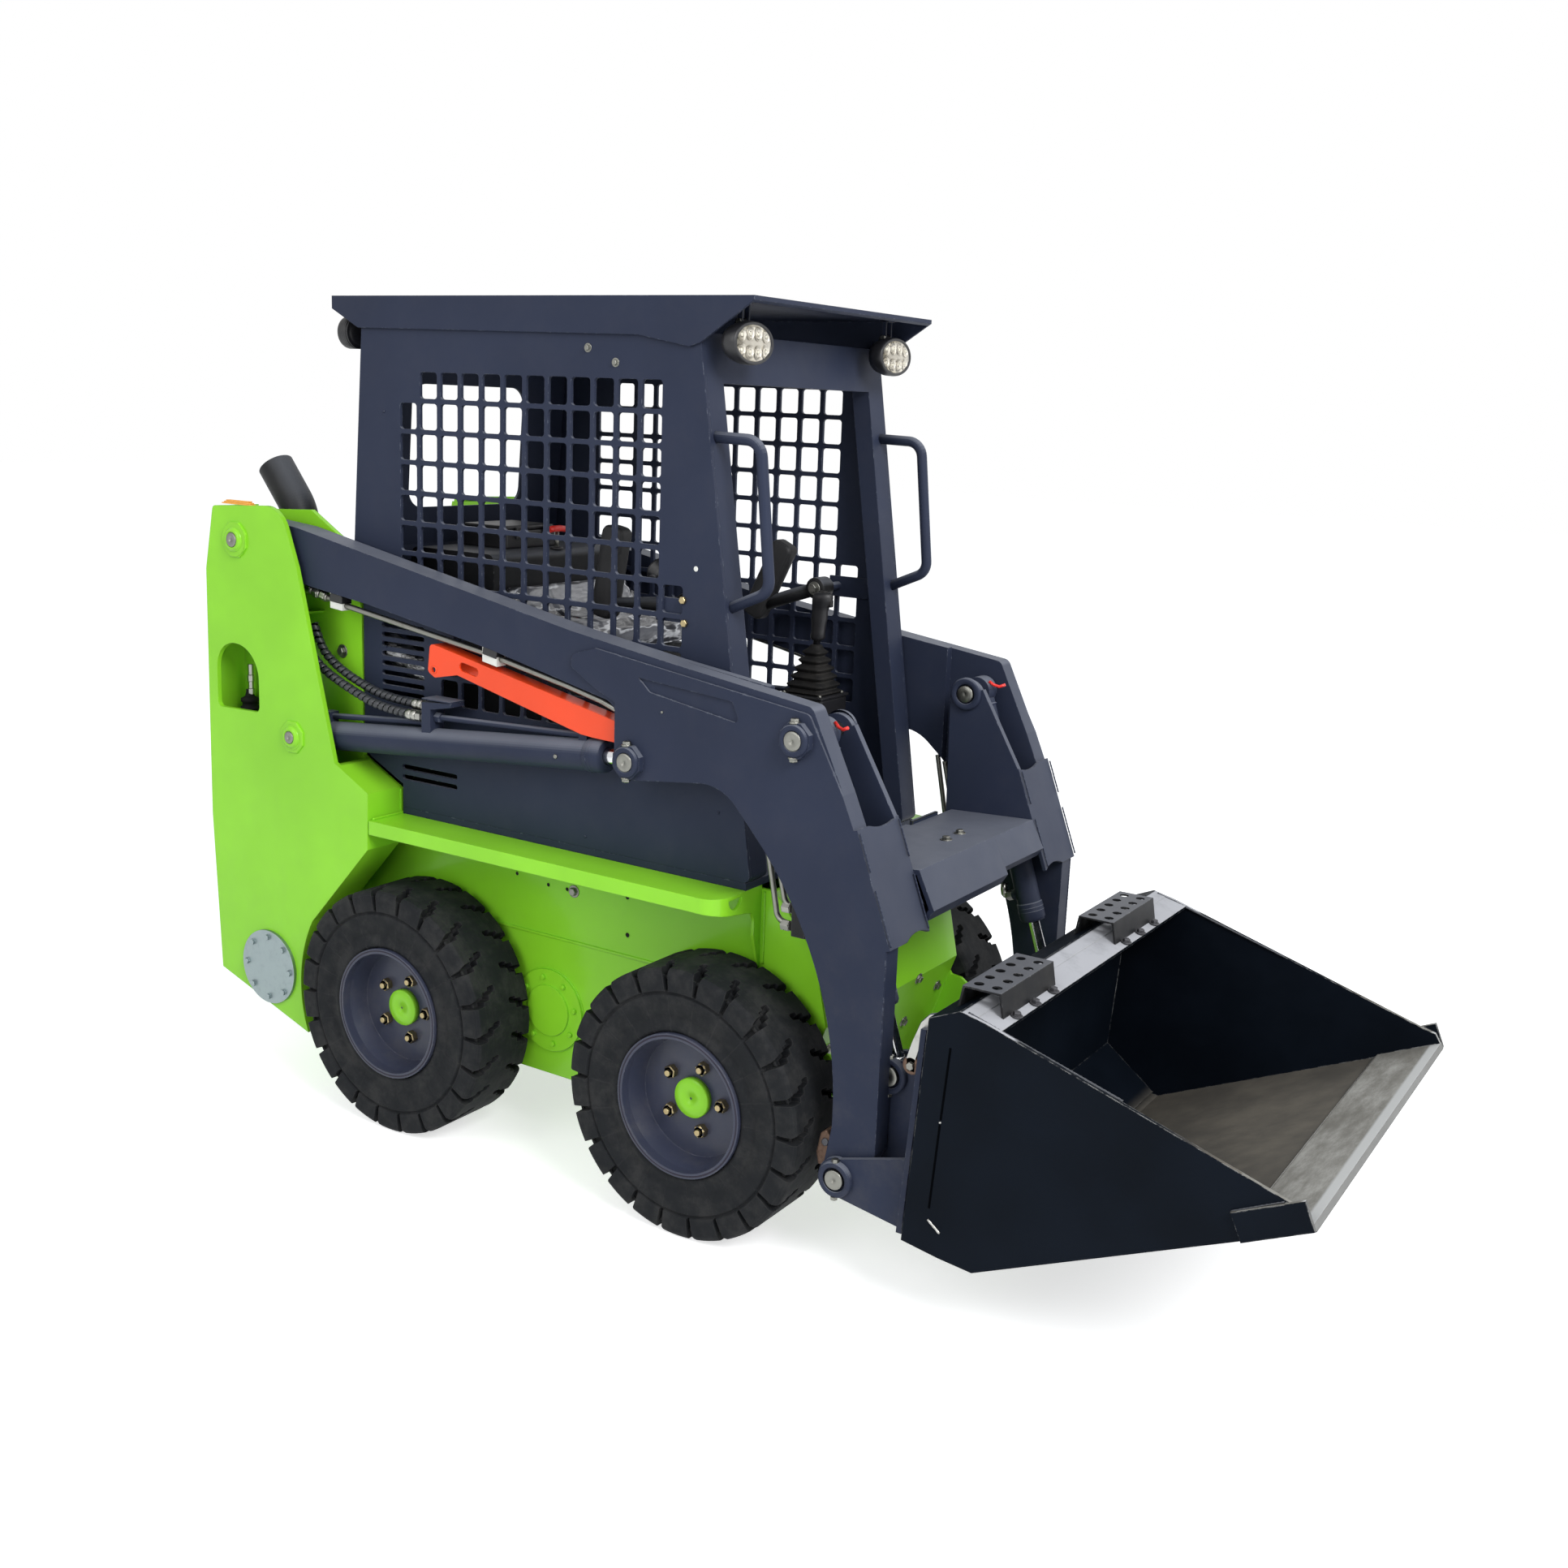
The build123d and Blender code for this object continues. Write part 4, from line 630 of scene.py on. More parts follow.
def make_tyre(place, axle_x, hand):
    """Lugged tyre from two mirrored halves, half a pitch apart, with its bore."""
    shape = Shape()
    pitch = 2 * pi / LUGS
    for half in (0, 1):
        rows = []
        for radius, depth, width, sink, centre, flow in HALF_SECTION:
            ring = []
            for lug in range(LUGS):
                for offset, low in tread_stops(pitch * TYRE_R, max(width, 2), centre):
                    a = pitch * (lug + 0.5 * half) + offset / TYRE_R
                    r = radius - low * sink * flow
                    d = depth - low * sink * (1 - flow)
                    station = TYRE_FACE - TYRE_WIDTH - d if half else TYRE_FACE + d
                    ring.append((axle_x + r * cos(a), hand * station, AXLE_Z + r * sin(a)))
            rows.append(ring)
        shape.rows(rows, "tread_rubber", smooth=False)
    circle = [(axle_x + 157 * cos(a), AXLE_Z + 157 * sin(a)) for a in turns(64)]
    bore = [[(x, hand * (TYRE_FACE - depth), z) for x, z in circle] for depth in (12, 166)]
    shape.rows(bore, "tread_rubber")
    tyre = shape.done(f"tread_{place}", f"wheel_{place}", f"tyre_{place}", slot="tread_rubber")
    for face in tyre.data.polygons:
        away = face.center - at(axle_x, 0, AXLE_Z)
        if hypot(away.x, away.z) < 0.247:  # the wall, inside the lugs
            face.use_smooth = True


def make_wheel_trim(place, axle_x, hand):
    """Hub cap, wheel nuts on their studs, and the rolled lip of the rim."""
    out = (0, hand, 0)
    disc = TYRE_FACE - DISC_DEPTH
    shape = Shape()
    cap = [(44, -1), (44, 13), (42.6, 15), (3.2, 15.4), (3, 12), (0.5, 12)]
    shape.lathe((axle_x, hand * disc, AXLE_Z), out, cap, "green_paint", 64)
    for a in turns(5):
        nut = (axle_x + 74 * cos(a), hand * disc, AXLE_Z + 74 * sin(a))
        shape.bolt(nut, out, 15, "brass_zinc", None, 16, stud=True)
    lip = [(147, -22), (148.5, -4), (150, 1.5), (152.5, 3), (155, 1.8), (157, -2), (157, -8)]
    bead = [(135, -63.5), (137, -57), (141, -52), (144, -40), (146.5, -22)]
    for profile, look in ((lip, "rim_lip"), (bead, "rim_paint")):
        shape.lathe((axle_x, hand * TYRE_FACE, AXLE_Z), out, profile, look, 96, OPEN)
    shape.done(f"wheel_trim_{place}", f"wheel_{place}")


for place, (axle_x, hand) in WHEELS.items():
    make_tyre(place, axle_x, hand)
    make_wheel_trim(place, axle_x, hand)


# ------------------------------------------------ stations of the drawing, on the right-hand side
TUB, TOWER_OUT, ARM_OUT, LEG_IN = -300, -465, -445, -396
EAR_OUT, EAR_IN, LIFT_Y, TILT_Y, BUCKET_HALF = -298, -283, -410, -355, 500
COUPLER_OUT, COUPLER_MID = -462, -391
CAB_OUT, CAB_IN = -361, -353
ARM_PIVOT, LIFT_BASE, LIFT_EYE = (-965, 1378), (-773, 915), (248, 1004)
TILT_TOP, TILT_EYE, BUCKET_PIVOT = (663, 1109), (880, 450), (806, 234)
RIGHT, LEFT, AHEAD, BACK, UP = (0, -1, 0), (0, 1, 0), (1, 0, 0), (-1, 0, 0), (0, 0, 1)
HANDS = ((-1, "right"), (1, "left"))


def spot(pin, station):
    """Point on a pin's axis."""
    return (pin[0], station, pin[1])


# ------------------------------------------------ chassis hardware
def make_tower_trim():
    """Raised green ring round each pin, pin faces, bolts, and the valve inside the tower."""
    shape = Shape()
    for pin, reach, face in ((ARM_PIVOT, 46, 17.5), (LIFT_BASE, 42, 15)):
        plate = [(reach, -1), (reach, 3), (reach - 2, 5), (face + 12, 5.5)]
        shape.lathe(spot(pin, TOWER_OUT), RIGHT, plate, "green_paint", caps=END, sides=8, turn=0.39)
        ring = [(face + 13, 5), (face + 12, 8), (face + 6, 12.6)]
        ring += [(face + 2, 13), (face + 1, 12), (face + 1, 10.5)]
        shape.lathe(spot(pin, TOWER_OUT), RIGHT, ring, "green_paint", 48, caps=END)
        plug = [(face, 10), (face, 12.8), (face - 2, 14), (3.2, 14.2), (2.8, 12.8), (0.6, 12.6)]
        shape.lathe(spot(pin, TOWER_OUT), RIGHT, plug, "steel", 40)
    # valve and its fitting, seen through the cut-out
    shape.tube([(-1023, -387, 700), (-1023, -387, 954)], 9, "soft_rubber", 16)
    valve = [(24, 0), (24, 7), (19, 9), (19, 19), (22, 21), (22, 29), (12, 34), (9, 46), (9, 52)]
    shape.lathe((-1023, -387, 940), UP, valve, "soft_rubber", 36)
    fitting = [(9, 0), (9, 14), (7, 15), (7, 32), (9, 33), (9, 48), (7, 50), (7, 76)]
    shape.lathe((-1019, -386, 980), UP, fitting, "nickel", sides=6)
    shape.bolt((-709, -362, 1122), RIGHT, 11, "steel", "steel")
    for x, z in ((-700, 890), (-742, 800)):
        shape.bolt((x, TOWER_OUT + 3, z), RIGHT, 2.5, "green_paint")
    shape.done("tower_trim", "chassis", mirror=True)


def make_chassis_trim():
    """Dark-lined holes, bolts and weld seams of the chassis side, deck and drive cover."""
    shape = Shape()
    for x, z, r in ((-197, 643, 5), (-100, 634, 5), (-43, 634, 5), (134, 650, 6), (136, 561, 6)):
        well = [(r + 1.6, -0.2), (r + 1.4, 0.5), (r, 0.6), (r - 0.6, 0.2)]
        shape.lathe((x, TUB, z), RIGHT, well, "green_paint", 20, caps=OPEN)
        shape.lathe((x, TUB, z), RIGHT, [(r - 0.4, 0.1), (r - 0.4, 0.25)], "soft_rubber", 20, caps=END)
    shape.bolt((-22, TUB, 633), RIGHT, 10, "steel", "steel")
    weld(shape, [(-150, TUB - 0.5, 512), (60, TUB - 0.5, 511), (300, TUB - 0.5, 513)], "green_paint", 2.6, 4)
    for x in (-450, -160):
        shape.lathe((x, -330, 749), UP, [(9, -0.5), (9, 0.8), (7, 1.2), (6.5, 0.4)], "soft_rubber", 20)
    weld(shape, [(-512, -350, 751), (-512, -455, 751)], "green_paint", 3, 6)
    weld(shape, [(505, TUB - 1, 735), (505, TUB - 1, 575)], "green_paint", 2.4, 7)
    cover_x, cover_z = -90, 330
    for a in turns(8, 0.2):
        place = (cover_x + 81 * cos(a), TUB - 7, cover_z + 81 * sin(a))
        shape.bolt(place, RIGHT, 6.5, "green_paint", None, 6)
    seam = [(cover_x + 101 * cos(a / 9), TUB - 0.4, cover_z + 101 * sin(a / 9)) for a in range(57)]
    weld(shape, seam, "green_paint", 2, 8)
    shape.done("chassis_trim", "chassis", mirror=True)


def make_nose_lugs():
    """Lugs on the front corners of the chassis and the bolts of its front plate."""
    nose = Shape()
    lug = [(598, 290), (598, 436), (628, 440), (646, 433), (657, 415)]
    lug += [(684, 414), (705, 399), (716, 368), (711, 337), (654, 290)]
    nose.solid([(x, TUB, z) for x, z in lug], (0, -8, 0), "green_paint", 1.5)
    nose.bolt((638, TUB - 8, 424), RIGHT, 8, "steel")
    nose.bolt((638, TUB + 1, 424), LEFT, 8, "steel", "steel")
    slope = (0.942, 0, -0.336)
    for y, z in ((-112, 461), (-128, 341), (-250, 400)):
        nose.bolt((603 + (z - 282) * 0.357, y, z), slope, 9, "steel", "steel")
    weld(nose, [(667, TUB + 2, 467), (604, TUB + 2, 284)], "green_paint", 2, 9)
    nose.done("nose_lugs", "chassis", mirror=True)


def make_tower_sling():
    """Orange sling folded level along the sloping top edge of the right-hand tower's outer plate."""
    shape = Shape()
    for layer, (start, end) in enumerate(((-1012, -902), (-1004, -908), (-996, -914))):
        z = 1463 + layer * 3.4
        shape.block((start, -465, z), (end, -452, z + 3.2), "orange_cord", 1.2)
    shape.done("tower_sling", "chassis")


# ------------------------------------------------ lift arm hardware
def keeper(shape, pin, station):
    """Pin face inside a round collar, held by a hexagon screw above and below."""
    face = [(20, 0), (20, 20.2), (18, 21.5), (3, 21.7), (2.6, 20.8), (0.6, 20.6)]
    shape.lathe(spot(pin, station), RIGHT, face, "steel", 40)
    sleeve = [(33, 13), (33, 17), (31, 20.5), (21.5, 20.5), (20.5, 18)]
    shape.lathe(spot(pin, station), RIGHT, sleeve, "slate_paint", 48, caps=OPEN)
    for up in (1, -1):
        root = (pin[0] - 3, station - 14 * 0.55, pin[1] + up * 35)
        shape.lathe(root, (0, 0, up), [(11, -2), (11, 2), (9.6, 3)], "steel", 24)
        shape.bolt(root, (0, 0, up), 9, "steel", None, 9)


def make_arm_trim():
    """Pin keepers, welds of the cover and ears, and the ear's rounded head beside the tilt cylinder."""
    shape = Shape()
    keeper(shape, LIFT_EYE, ARM_OUT)
    keeper(shape, TILT_TOP, ARM_OUT)
    # weld beads along the cover's outer edge and where the crossbeam meets the ears
    head, foot = Vector((807, 0, 951)), Vector((893, 0, 724))
    for station in (ARM_OUT + 1, EAR_OUT + 8):
        for shares, seed in (((0.03, 0.35), 11), ((0.5, 0.97), 12)):
            seam = [head.lerp(foot, s) + Vector((4, station, 1)) for s in shares]
            weld(shape, seam, "slate_paint", 1.7, seed)
    weld(shape, [(884, ARM_OUT + 2, 722), (883, ARM_OUT + 2, 500)], "slate_paint", 1.4, 13)
    # ear's rounded head beside the tilt cylinder, with the end of the pin
    ring = [(38, -1), (38, 7), (35, 9), (24, 9), (23, 7)]
    shape.lathe(spot(TILT_TOP, EAR_IN), LEFT, ring, "slate_paint", 48, caps=OPEN)
    end = [(20, 0), (20, 9), (18.5, 10.5), (3, 10.7), (0.6, 9.8)]
    shape.lathe(spot(TILT_TOP, EAR_IN), LEFT, end, "steel", 36)
    # small screw in the boom's face
    shape.bolt((330, ARM_OUT, 1120), RIGHT, 3, "steel")
    shape.done("arm_trim", "lift_arm", mirror=True)


def make_pipe_trim():
    """Black heads and bolts of the pipe clamps, hexagon nuts and end fittings of the steel lines."""
    shape = Shape()
    pipe_y = ARM_OUT + 25
    for x, z, tilt in ((-649, 1254, -0.11), (-160, 1181, -0.19)):
        run = Vector((1, 0, tilt)).normalized()
        across = Vector((-tilt, 0, 1)).normalized()
        base = Vector((x, 0, z))
        outline = ((-21, -2), (21, -2), (21, 14), (17, 18), (-17, 18), (-21, 14))
        ring = [base + run * a + across * b for a, b in outline]
        shape.solid([(p.x, pipe_y - 16, p.z) for p in ring], (0, 31, 0), "black_plastic", 1.5)
        shape.bolt(base + Vector((0, pipe_y, 17)), UP, 6, "steel")
    # cover over the short lines' port block behind the leg
    shape.block((634, LEG_IN - 1, 688), (668, LEG_IN + 28, 756), "black_paint", 2)
    line = Vector((123, 0, -29)).normalized()
    start = Vector((-766, pipe_y, 1276))
    for near, size in ((2, 12.5), (28, 13.5), (54, 12.5)):
        profile = [(size * 0.86, near), (size, near + 2.5), (size, near + 16), (size * 0.86, near + 18.5)]
        shape.lathe(start, line, profile, "nickel", sides=6, turn=0.3 * near)
        shape.lathe(start, line, [(size * 0.8, near + 18), (size * 0.8, near + 24)], "nickel", 24)
    # bushes on the two short lines behind the leg, and their nuts at the block
    for x, z in ((604, 741), (603, 703)):
        shape.lathe((x, LEG_IN + 16, z), AHEAD, [(8, -2), (12, 0), (12, 18), (8, 20)], "nickel", sides=6)
        shape.lathe((x, LEG_IN + 16, z), AHEAD, [(9, 18), (9, 32)], "soft_rubber", 20)
    shape.done("pipe_trim", "lift_arm", mirror=True)


def make_strut_trim():
    """Raised rim round the strut's rear hole. Its mirror image hangs free on the left, which has no strut."""
    shape = Shape()
    rim = [(9.5, -1), (9.5, 1.2), (7.6, 1.8), (6.4, 1.2)]
    shape.lathe((-335, ARM_OUT + 15, 1128), RIGHT, rim, "orange_paint", 28, OPEN)
    shape.done("strut_trim", "lift_arm", mirror=True)


def make_crossbeam_trim():
    """Two bolts and the weld seams on top of the crossbeam."""
    shape = Shape()
    for x, y in ((786, -22), (783, 48)):
        shape.bolt((x, y, 841.4), (-0.045, 0, 1), 9, "steel", "steel")
    weld(shape, [(875, -60, 778), (845, -60, 832), (645, -60, 824)], "slate_paint", 1.5, 21)
    for side in (-1, 1):
        seam = [(874, side * 280, 775), (845, side * 280, 829), (645, side * 280, 821)]
        weld(shape, seam, "slate_paint", 1.6, 22)
    shape.done("crossbeam_trim", "lift_arm")


def make_couplings():
    """Two hydraulic quick couplings: one with a round dust cap, one with a bare nose."""
    shape = Shape()
    rise = Vector((cos(radians(5)), 0, sin(radians(5))))
    for y, z, capped in ((125, 714, True), (185, 690, False)):
        root = (640, y, z)
        shape.lathe(root, rise, [(21, 0), (21, 22), (18, 25)], "nickel_dark", sides=6)
        barrel = [(19, 24), (19, 44), (17, 46), (17, 50), (21, 53), (21, 70), (19, 74)]
        shape.lathe(root, rise, barrel, "nickel_dark", 32)
        if capped:
            cap = [(22, 76), (24, 80), (24, 114), (22, 119), (12, 120), (11, 122), (0.6, 122)]
            shape.lathe(root, rise, cap, "iron", 40)
        else:
            collar = [(20, 74), (22, 76), (22, 84), (16, 88), (16, 94)]
            shape.lathe(root, rise, collar, "nickel_dark", sides=6)
            nose = [(16.5, 94), (16.5, 99), (13.5, 101), (13.5, 104), (15.5, 106), (15.5, 112)]
            nose += [(13, 114), (13, 123), (11, 125.5), (8, 125.5), (7.5, 120), (0.6, 119)]
            shape.lathe(root, rise, nose, "nickel", 36)
    shape.block((631.5, 94, 641), (640.5, 216, 836), "slate_paint", 2)
    for y, z in ((110, 812), (200, 812), (110, 664), (200, 664)):
        shape.bolt((640, y, z), AHEAD, 7, "steel")
    shape.done("couplings", "lift_arm", "aux_couplings")


# ------------------------------------------------ cylinders
def cylinder_trim(base, eye, station, tube_r, length, eye_r, rod_r):
    """Gland with two raised rings at the rod's end and a weld ring at the base."""
    shape = Shape()
    run = Vector((eye[0] - base[0], 0, eye[1] - base[1])).normalized()
    start = Vector(spot(base, station))
    gland = [(tube_r, length - 44), (tube_r + 2.5, length - 42), (tube_r + 2.5, length - 6)]
    gland += [(tube_r - 1, length + 1), (rod_r + 6, length + 2.5), (rod_r + 1, length + 2)]
    shape.lathe(start, run, gland, "slate_paint", 56, OPEN)
    for near in (length - 33, length - 24):
        ring = [(tube_r + 2.6, near), (tube_r + 3.4, near + 1.4), (tube_r + 2.6, near + 2.8)]
        shape.lathe(start, run, ring, "slate_paint", 56, OPEN)
    bead = [(tube_r - 1, eye_r + 1), (tube_r + 3, eye_r + 4), (tube_r + 0.2, eye_r + 9)]
    shape.lathe(start, run, bead, "slate_paint", 56, OPEN)
    return shape, run, start


def make_lift_barrel_trim():
    """Clamp screw, line nuts and silver hose ends at the port block."""
    shape, run, start = cylinder_trim(LIFT_BASE, LIFT_EYE, LIFT_Y, 35, 935, 30, 18)
    # screw of the base clamp, hexagon nuts where the hard lines meet the port block
    shape.bolt(start + run * 820 + Vector((0, -34.5, -2)), RIGHT, 5, "steel")
    for x, z, way in ((-373, 998, -1), (-345, 1014, 1)):
        nut = [(13, 0), (13, 14), (11, 16), (8, 17)]
        shape.lathe((x, LIFT_Y, z), (way, 0, 0), nut, "slate_paint", sides=6)
    # silver hose ends
    for station, z in ((LIFT_Y + 9, 1034), (LIFT_Y - 11, 1012)):
        end = (-373, station, z)
        nut = [(9, 0), (9, 6), (13.5, 7), (13.5, 22), (11, 24)]
        shape.lathe(end, BACK, nut, "nickel", sides=6, turn=0.3)
        ferrule = [(11.5, 24), (13, 26), (13, 36), (11.6, 38), (13, 40), (13, 52), (11, 54)]
        shape.lathe(end, BACK, ferrule, "nickel", 28)
    # thin guard on the block's top
    shape.block((-371, LIFT_Y - 24, 1056), (-281, LIFT_Y + 24, 1059), "slate_paint", 1)
    shape.done("lift_barrel_trim", "lift_barrels", mirror=True)


def make_tilt_barrel_trim():
    """Red tie through the upper eye, and the rear port with its elbow."""
    shape, run, start = cylinder_trim(TILT_TOP, TILT_EYE, TILT_Y, 28, 560, 33, 15)
    tie = [(688, TILT_Y + 8, 1134), (699, TILT_Y + 4, 1126), (712, TILT_Y, 1123), (725, TILT_Y - 3, 1129)]
    shape.tube(tie, 3.6, "red_plastic", 10)
    boss, rearward = start + run * 494, (run.z, 0, -run.x)
    shape.lathe(boss, rearward, [(13, 20), (13, 36), (11, 38)], "slate_paint", 24)
    shape.lathe(boss, rearward, [(12.5, 38), (12.5, 50), (10, 53), (8, 58)], "nickel", sides=6)
    elbow = boss + Vector(rearward) * 56
    bend = [elbow + Vector((x, 0, z)) for x, z in ((0, 0), (-6, 5), (-8, 16), (-8, 30))]
    shape.tube(bend, 8, "nickel", 14)
    shape.done("tilt_barrel_trim", "tilt_barrels", mirror=True)


# ------------------------------------------------ hydraulic hoses, one cord each
# routes (x, z) from inside the tower to the port block
UPPER_ROUTE = [(-764, 1188), (-742, 1134), (-698, 1098), (-625, 1066), (-510, 1034), (-373.3, 1034)]
LOWER_ROUTE = [(-790, 1150), (-738, 1094), (-620, 1046), (-500, 1012), (-373.3, 1012)]
# offset inwards from the cylinder, length in metres, and route
HOSES = {"upper": (9, 0.448, UPPER_ROUTE), "lower": (-11, 0.452, LOWER_ROUTE)}


def curve_points(name, route):
    """Points along a smooth cord: the route's own NURBS spline."""
    curve = bpy.data.curves.new(name, "CURVE")
    curve.dimensions = "3D"
    spline = curve.splines.new("NURBS")
    spline.points.add(len(route) - 1)
    for point, place in zip(spline.points, route):
        point.co = (*at(*place), 1)
    spline.order_u = 3
    spline.use_endpoint_u = True
    spline.resolution_u = 40
    holder = bpy.data.objects.new(name, curve)
    mesh = bpy.data.meshes.new_from_object(holder)
    points = [v.co.copy() for v in mesh.vertices]
    bpy.data.meshes.remove(mesh)
    bpy.data.objects.remove(holder)
    bpy.data.curves.remove(curve)
    return points


def make_hoses():
    """Rubber hoses in a spiral wrap, with painted shade: the grooves between the wrap's turns are near-black.
    """
    for hand, side in HANDS:

        def wrap(along, angle):
            turn = (along / 17 - hand * angle / (2 * pi)) % 1.0
            return 10.6 if turn < 0.7 else 8.2

        for level, (offset, length, route) in HOSES.items():
            name = f"lift_hose_{level}_{side}"
            points = curve_points(name, [(x, hand * (-LIFT_Y - offset), z) for x, z in route])
            path = [((p.x - MID_X) / MM, p.y / MM, p.z / MM) for p in points]
            shape = Shape()
            # faces in the grooves between turns take gap_black, a near-black matte that paints their shade
            shape.tube(resample(path, 1.9), wrap, "wrap_plastic", 20, low=("gap_black", 9))
            hose = shape.done(name, "lift_barrels", "lift_hoses", slot="soft_rubber")


def resample(path, step):
    """Same line with points an even step apart."""
    path = [Vector(p) for p in path]
    runs = [(b - a).length for a, b in zip(path, path[1:])]
    total = sum(runs)
    count = int(total / step)
    made, i, passed = [], 0, 0.0
    for k in range(count + 1):
        goal = total * k / count
        while i < len(runs) - 1 and passed + runs[i] < goal:
            passed += runs[i]
            i += 1
        share = 0 if not runs[i] else (goal - passed) / runs[i]
        made.append(path[i].lerp(path[i + 1], min(share, 1)))
    return made


# ------------------------------------------------ cab
def make_cab_trim():
    """Bolts and a white plug on the cab sides, and a foil sleeve behind the vents."""
    shape = Shape()
    for x, z in ((49, 1854), (124, 1825)):
        shape.bolt((x, CAB_OUT, z), RIGHT, 6.5, "steel", "steel")
    for x, z in ((315, 1344), (320, 1296)):
        shape.bolt((x, CAB_OUT, z), RIGHT, 8.5, "brass_zinc", None, 7)
    shape.lathe((345, CAB_OUT, 1412), RIGHT, [(5.5, -0.2), (5.5, 0.3)], "white_plastic", 20, caps=END)
    for x, z in ((-560, 1700), (-560, 1150), (420, 905), (60, 790)):
        shape.bolt((x, CAB_OUT, z), RIGHT, 3, "slate_paint")
    shape.done("cab_trim", "chassis", mirror=True)
    # foil sleeve of the heater line, glimpsed through the side vents
    sleeve = Shape()
    path = [Vector((-610 + 14 * i, -315, 1150 - 5.5 * i)) for i in range(13)]

    def crumple(along, angle):
        return 33 + 5 * noise.noise(Vector((along * 0.05, cos(angle) * 2, sin(angle) * 2)))

    sleeve.tube(path, crumple, "foil", 20)
    sleeve.done("heater_sleeve", "chassis")


def make_handles():
    """Grab handles: a bent tube welded to the raked post at both ends."""
    shape = Shape()
    route = rounded([(345, -336, 1683), (480, -336, 1679), (513, -336, 1377), (386, -336, 1322)], (38, 34))
    shape.tube(route, 12, "slate_paint", 20)
    shape.done("grab_handle_tubes", "chassis", "grab_handles", mirror=True)


def make_front_lamps():
    """Oval work lamps: black housing and bezel, eight reflector cups behind a clear lens."""
    for hand, side in HANDS:
        shape = Shape()
        centre = (0, hand * 292, 1872)

        def oval(x, wide, high):
            return [(x, centre[1] + wide * cos(a), centre[2] + high * sin(a)) for a in turns(56)]

        shell = [oval(378, 20, 14), oval(379, 40, 26), oval(388, 62, 38)]
        shell += [oval(402, 71, 43), oval(418, 72, 44)]
        shell += [oval(424, 71, 43.4), oval(427, 69, 42), oval(426.5, 62, 36.5), oval(421, 60.5, 35.5)]
        shape.rows(shell, "black_plastic", (True, False))
        shape.rows([oval(420.5, 60.8, 35.8), oval(420, 30, 18), oval(419.8, 2, 1)], "reflector", END)
        for column in range(4):
            for row in (-1, 1):
                y = centre[1] + (column - 1.5) * 28
                z = centre[2] + row * (17.5 if column in (1, 2) else 14.5)
                cup = [(13, 1.4), (13.6, 3.2), (12.6, 3.4), (9.4, 0.6)]
                cup += [(5, -0.6), (4.4, 0.8), (3.2, 3), (0.4, 3.6)]
                shape.lathe((420, y, z), AHEAD, cup, "reflector", 24, caps=END)
                shape.lathe((420.2, y, z), AHEAD, [(4.2, 0.7), (3.2, 3.2), (0.4, 3.9)], "led", 16, caps=END)
        shape.lathe((394, centre[1] - 12, 1912), LEFT, [(10, 0), (10, 24)], "black_plastic", 24)
        for y in (centre[1] - 14, centre[1] + 10):
            shape.block((392, y, 1906), (404, y + 4, 1954.5), "slate_paint", 1)
        shape.block((386, centre[1] - 14, 1950), (410, centre[1] + 14, 1954.8), "slate_paint", 1)
        shape.bolt((398, centre[1] - 14, 1914), RIGHT, 7, "steel")
        shape.done(f"front_lamp_{side}", "chassis", "front_lamps", slot="lamp")
        lens = Shape()
        cover = [oval(425.6, 62.2, 36.7), oval(427.8, 57, 33), oval(430.5, 44, 26)]
        cover += [oval(431.2, 20, 12), oval(431.3, 1, 0.7)]
        lens.rows(cover, "lens", END)
        lens.done(f"front_lamp_lens_{side}", "chassis", "front_lamps")


def make_rear_lamps():
    """Round rear lamps: finned housing, reflector and six diodes."""
    for hand, side in HANDS:
        shape = Shape()
        y, z = hand * 318, 1880
        shell = [(8, 0), (30, 1.5), (34.5, 3), (37, 3), (38, 6)]
        shell += [(38, 26), (35, 34), (24, 40), (8, 41), (0.5, 41)]
        shape.lathe((-722, y, z), AHEAD, shell, "black_plastic", 48)
        shape.lathe((-721, y, z), BACK, [(33, -2), (33, 0.4), (24, 0.9), (0.6, 0.9)], "reflector", 40)
        for a in turns(6):
            place = (-721.8, y + 19 * cos(a), z + 19 * sin(a))
            shape.lathe(place, BACK, [(6, -0.6), (5, 0.2), (3, -0.2), (0.5, 0)], "led", 16)
        for fin in range(5):
            rib = [(37.5, 0), (38, 0.4), (38, 2.0), (37.5, 2.4)]
            shape.lathe((-712 + fin * 6, y, z), AHEAD, rib, "black_plastic", 40)
        for edge in (y - 13, y + 9):
            shape.block((-706, edge, 1908), (-694, edge + 4, 1954.5), "slate_paint", 1)
        shape.bolt((-700, y - 13, 1914), RIGHT, 7, "steel")
        shape.done(f"rear_lamp_{side}", "chassis", "rear_lamps", slot="black_plastic")


def square_ring(centre, z, half, corner, lean=0):
    """Ring of a rounded square at one height, shifted forward by lean."""
    ring = []
    for quarter in range(4):
        cx = (half - corner) * (1 if quarter in (0, 3) else -1)
        cy = (half - corner) * (1 if quarter in (0, 1) else -1)
        for i in range(8):
            a = pi / 2 * (quarter + i / 7)
            x = centre[0] + lean + cx + corner * cos(a)
            ring.append((x, centre[1] + cy + corner * sin(a), z))
    return ring


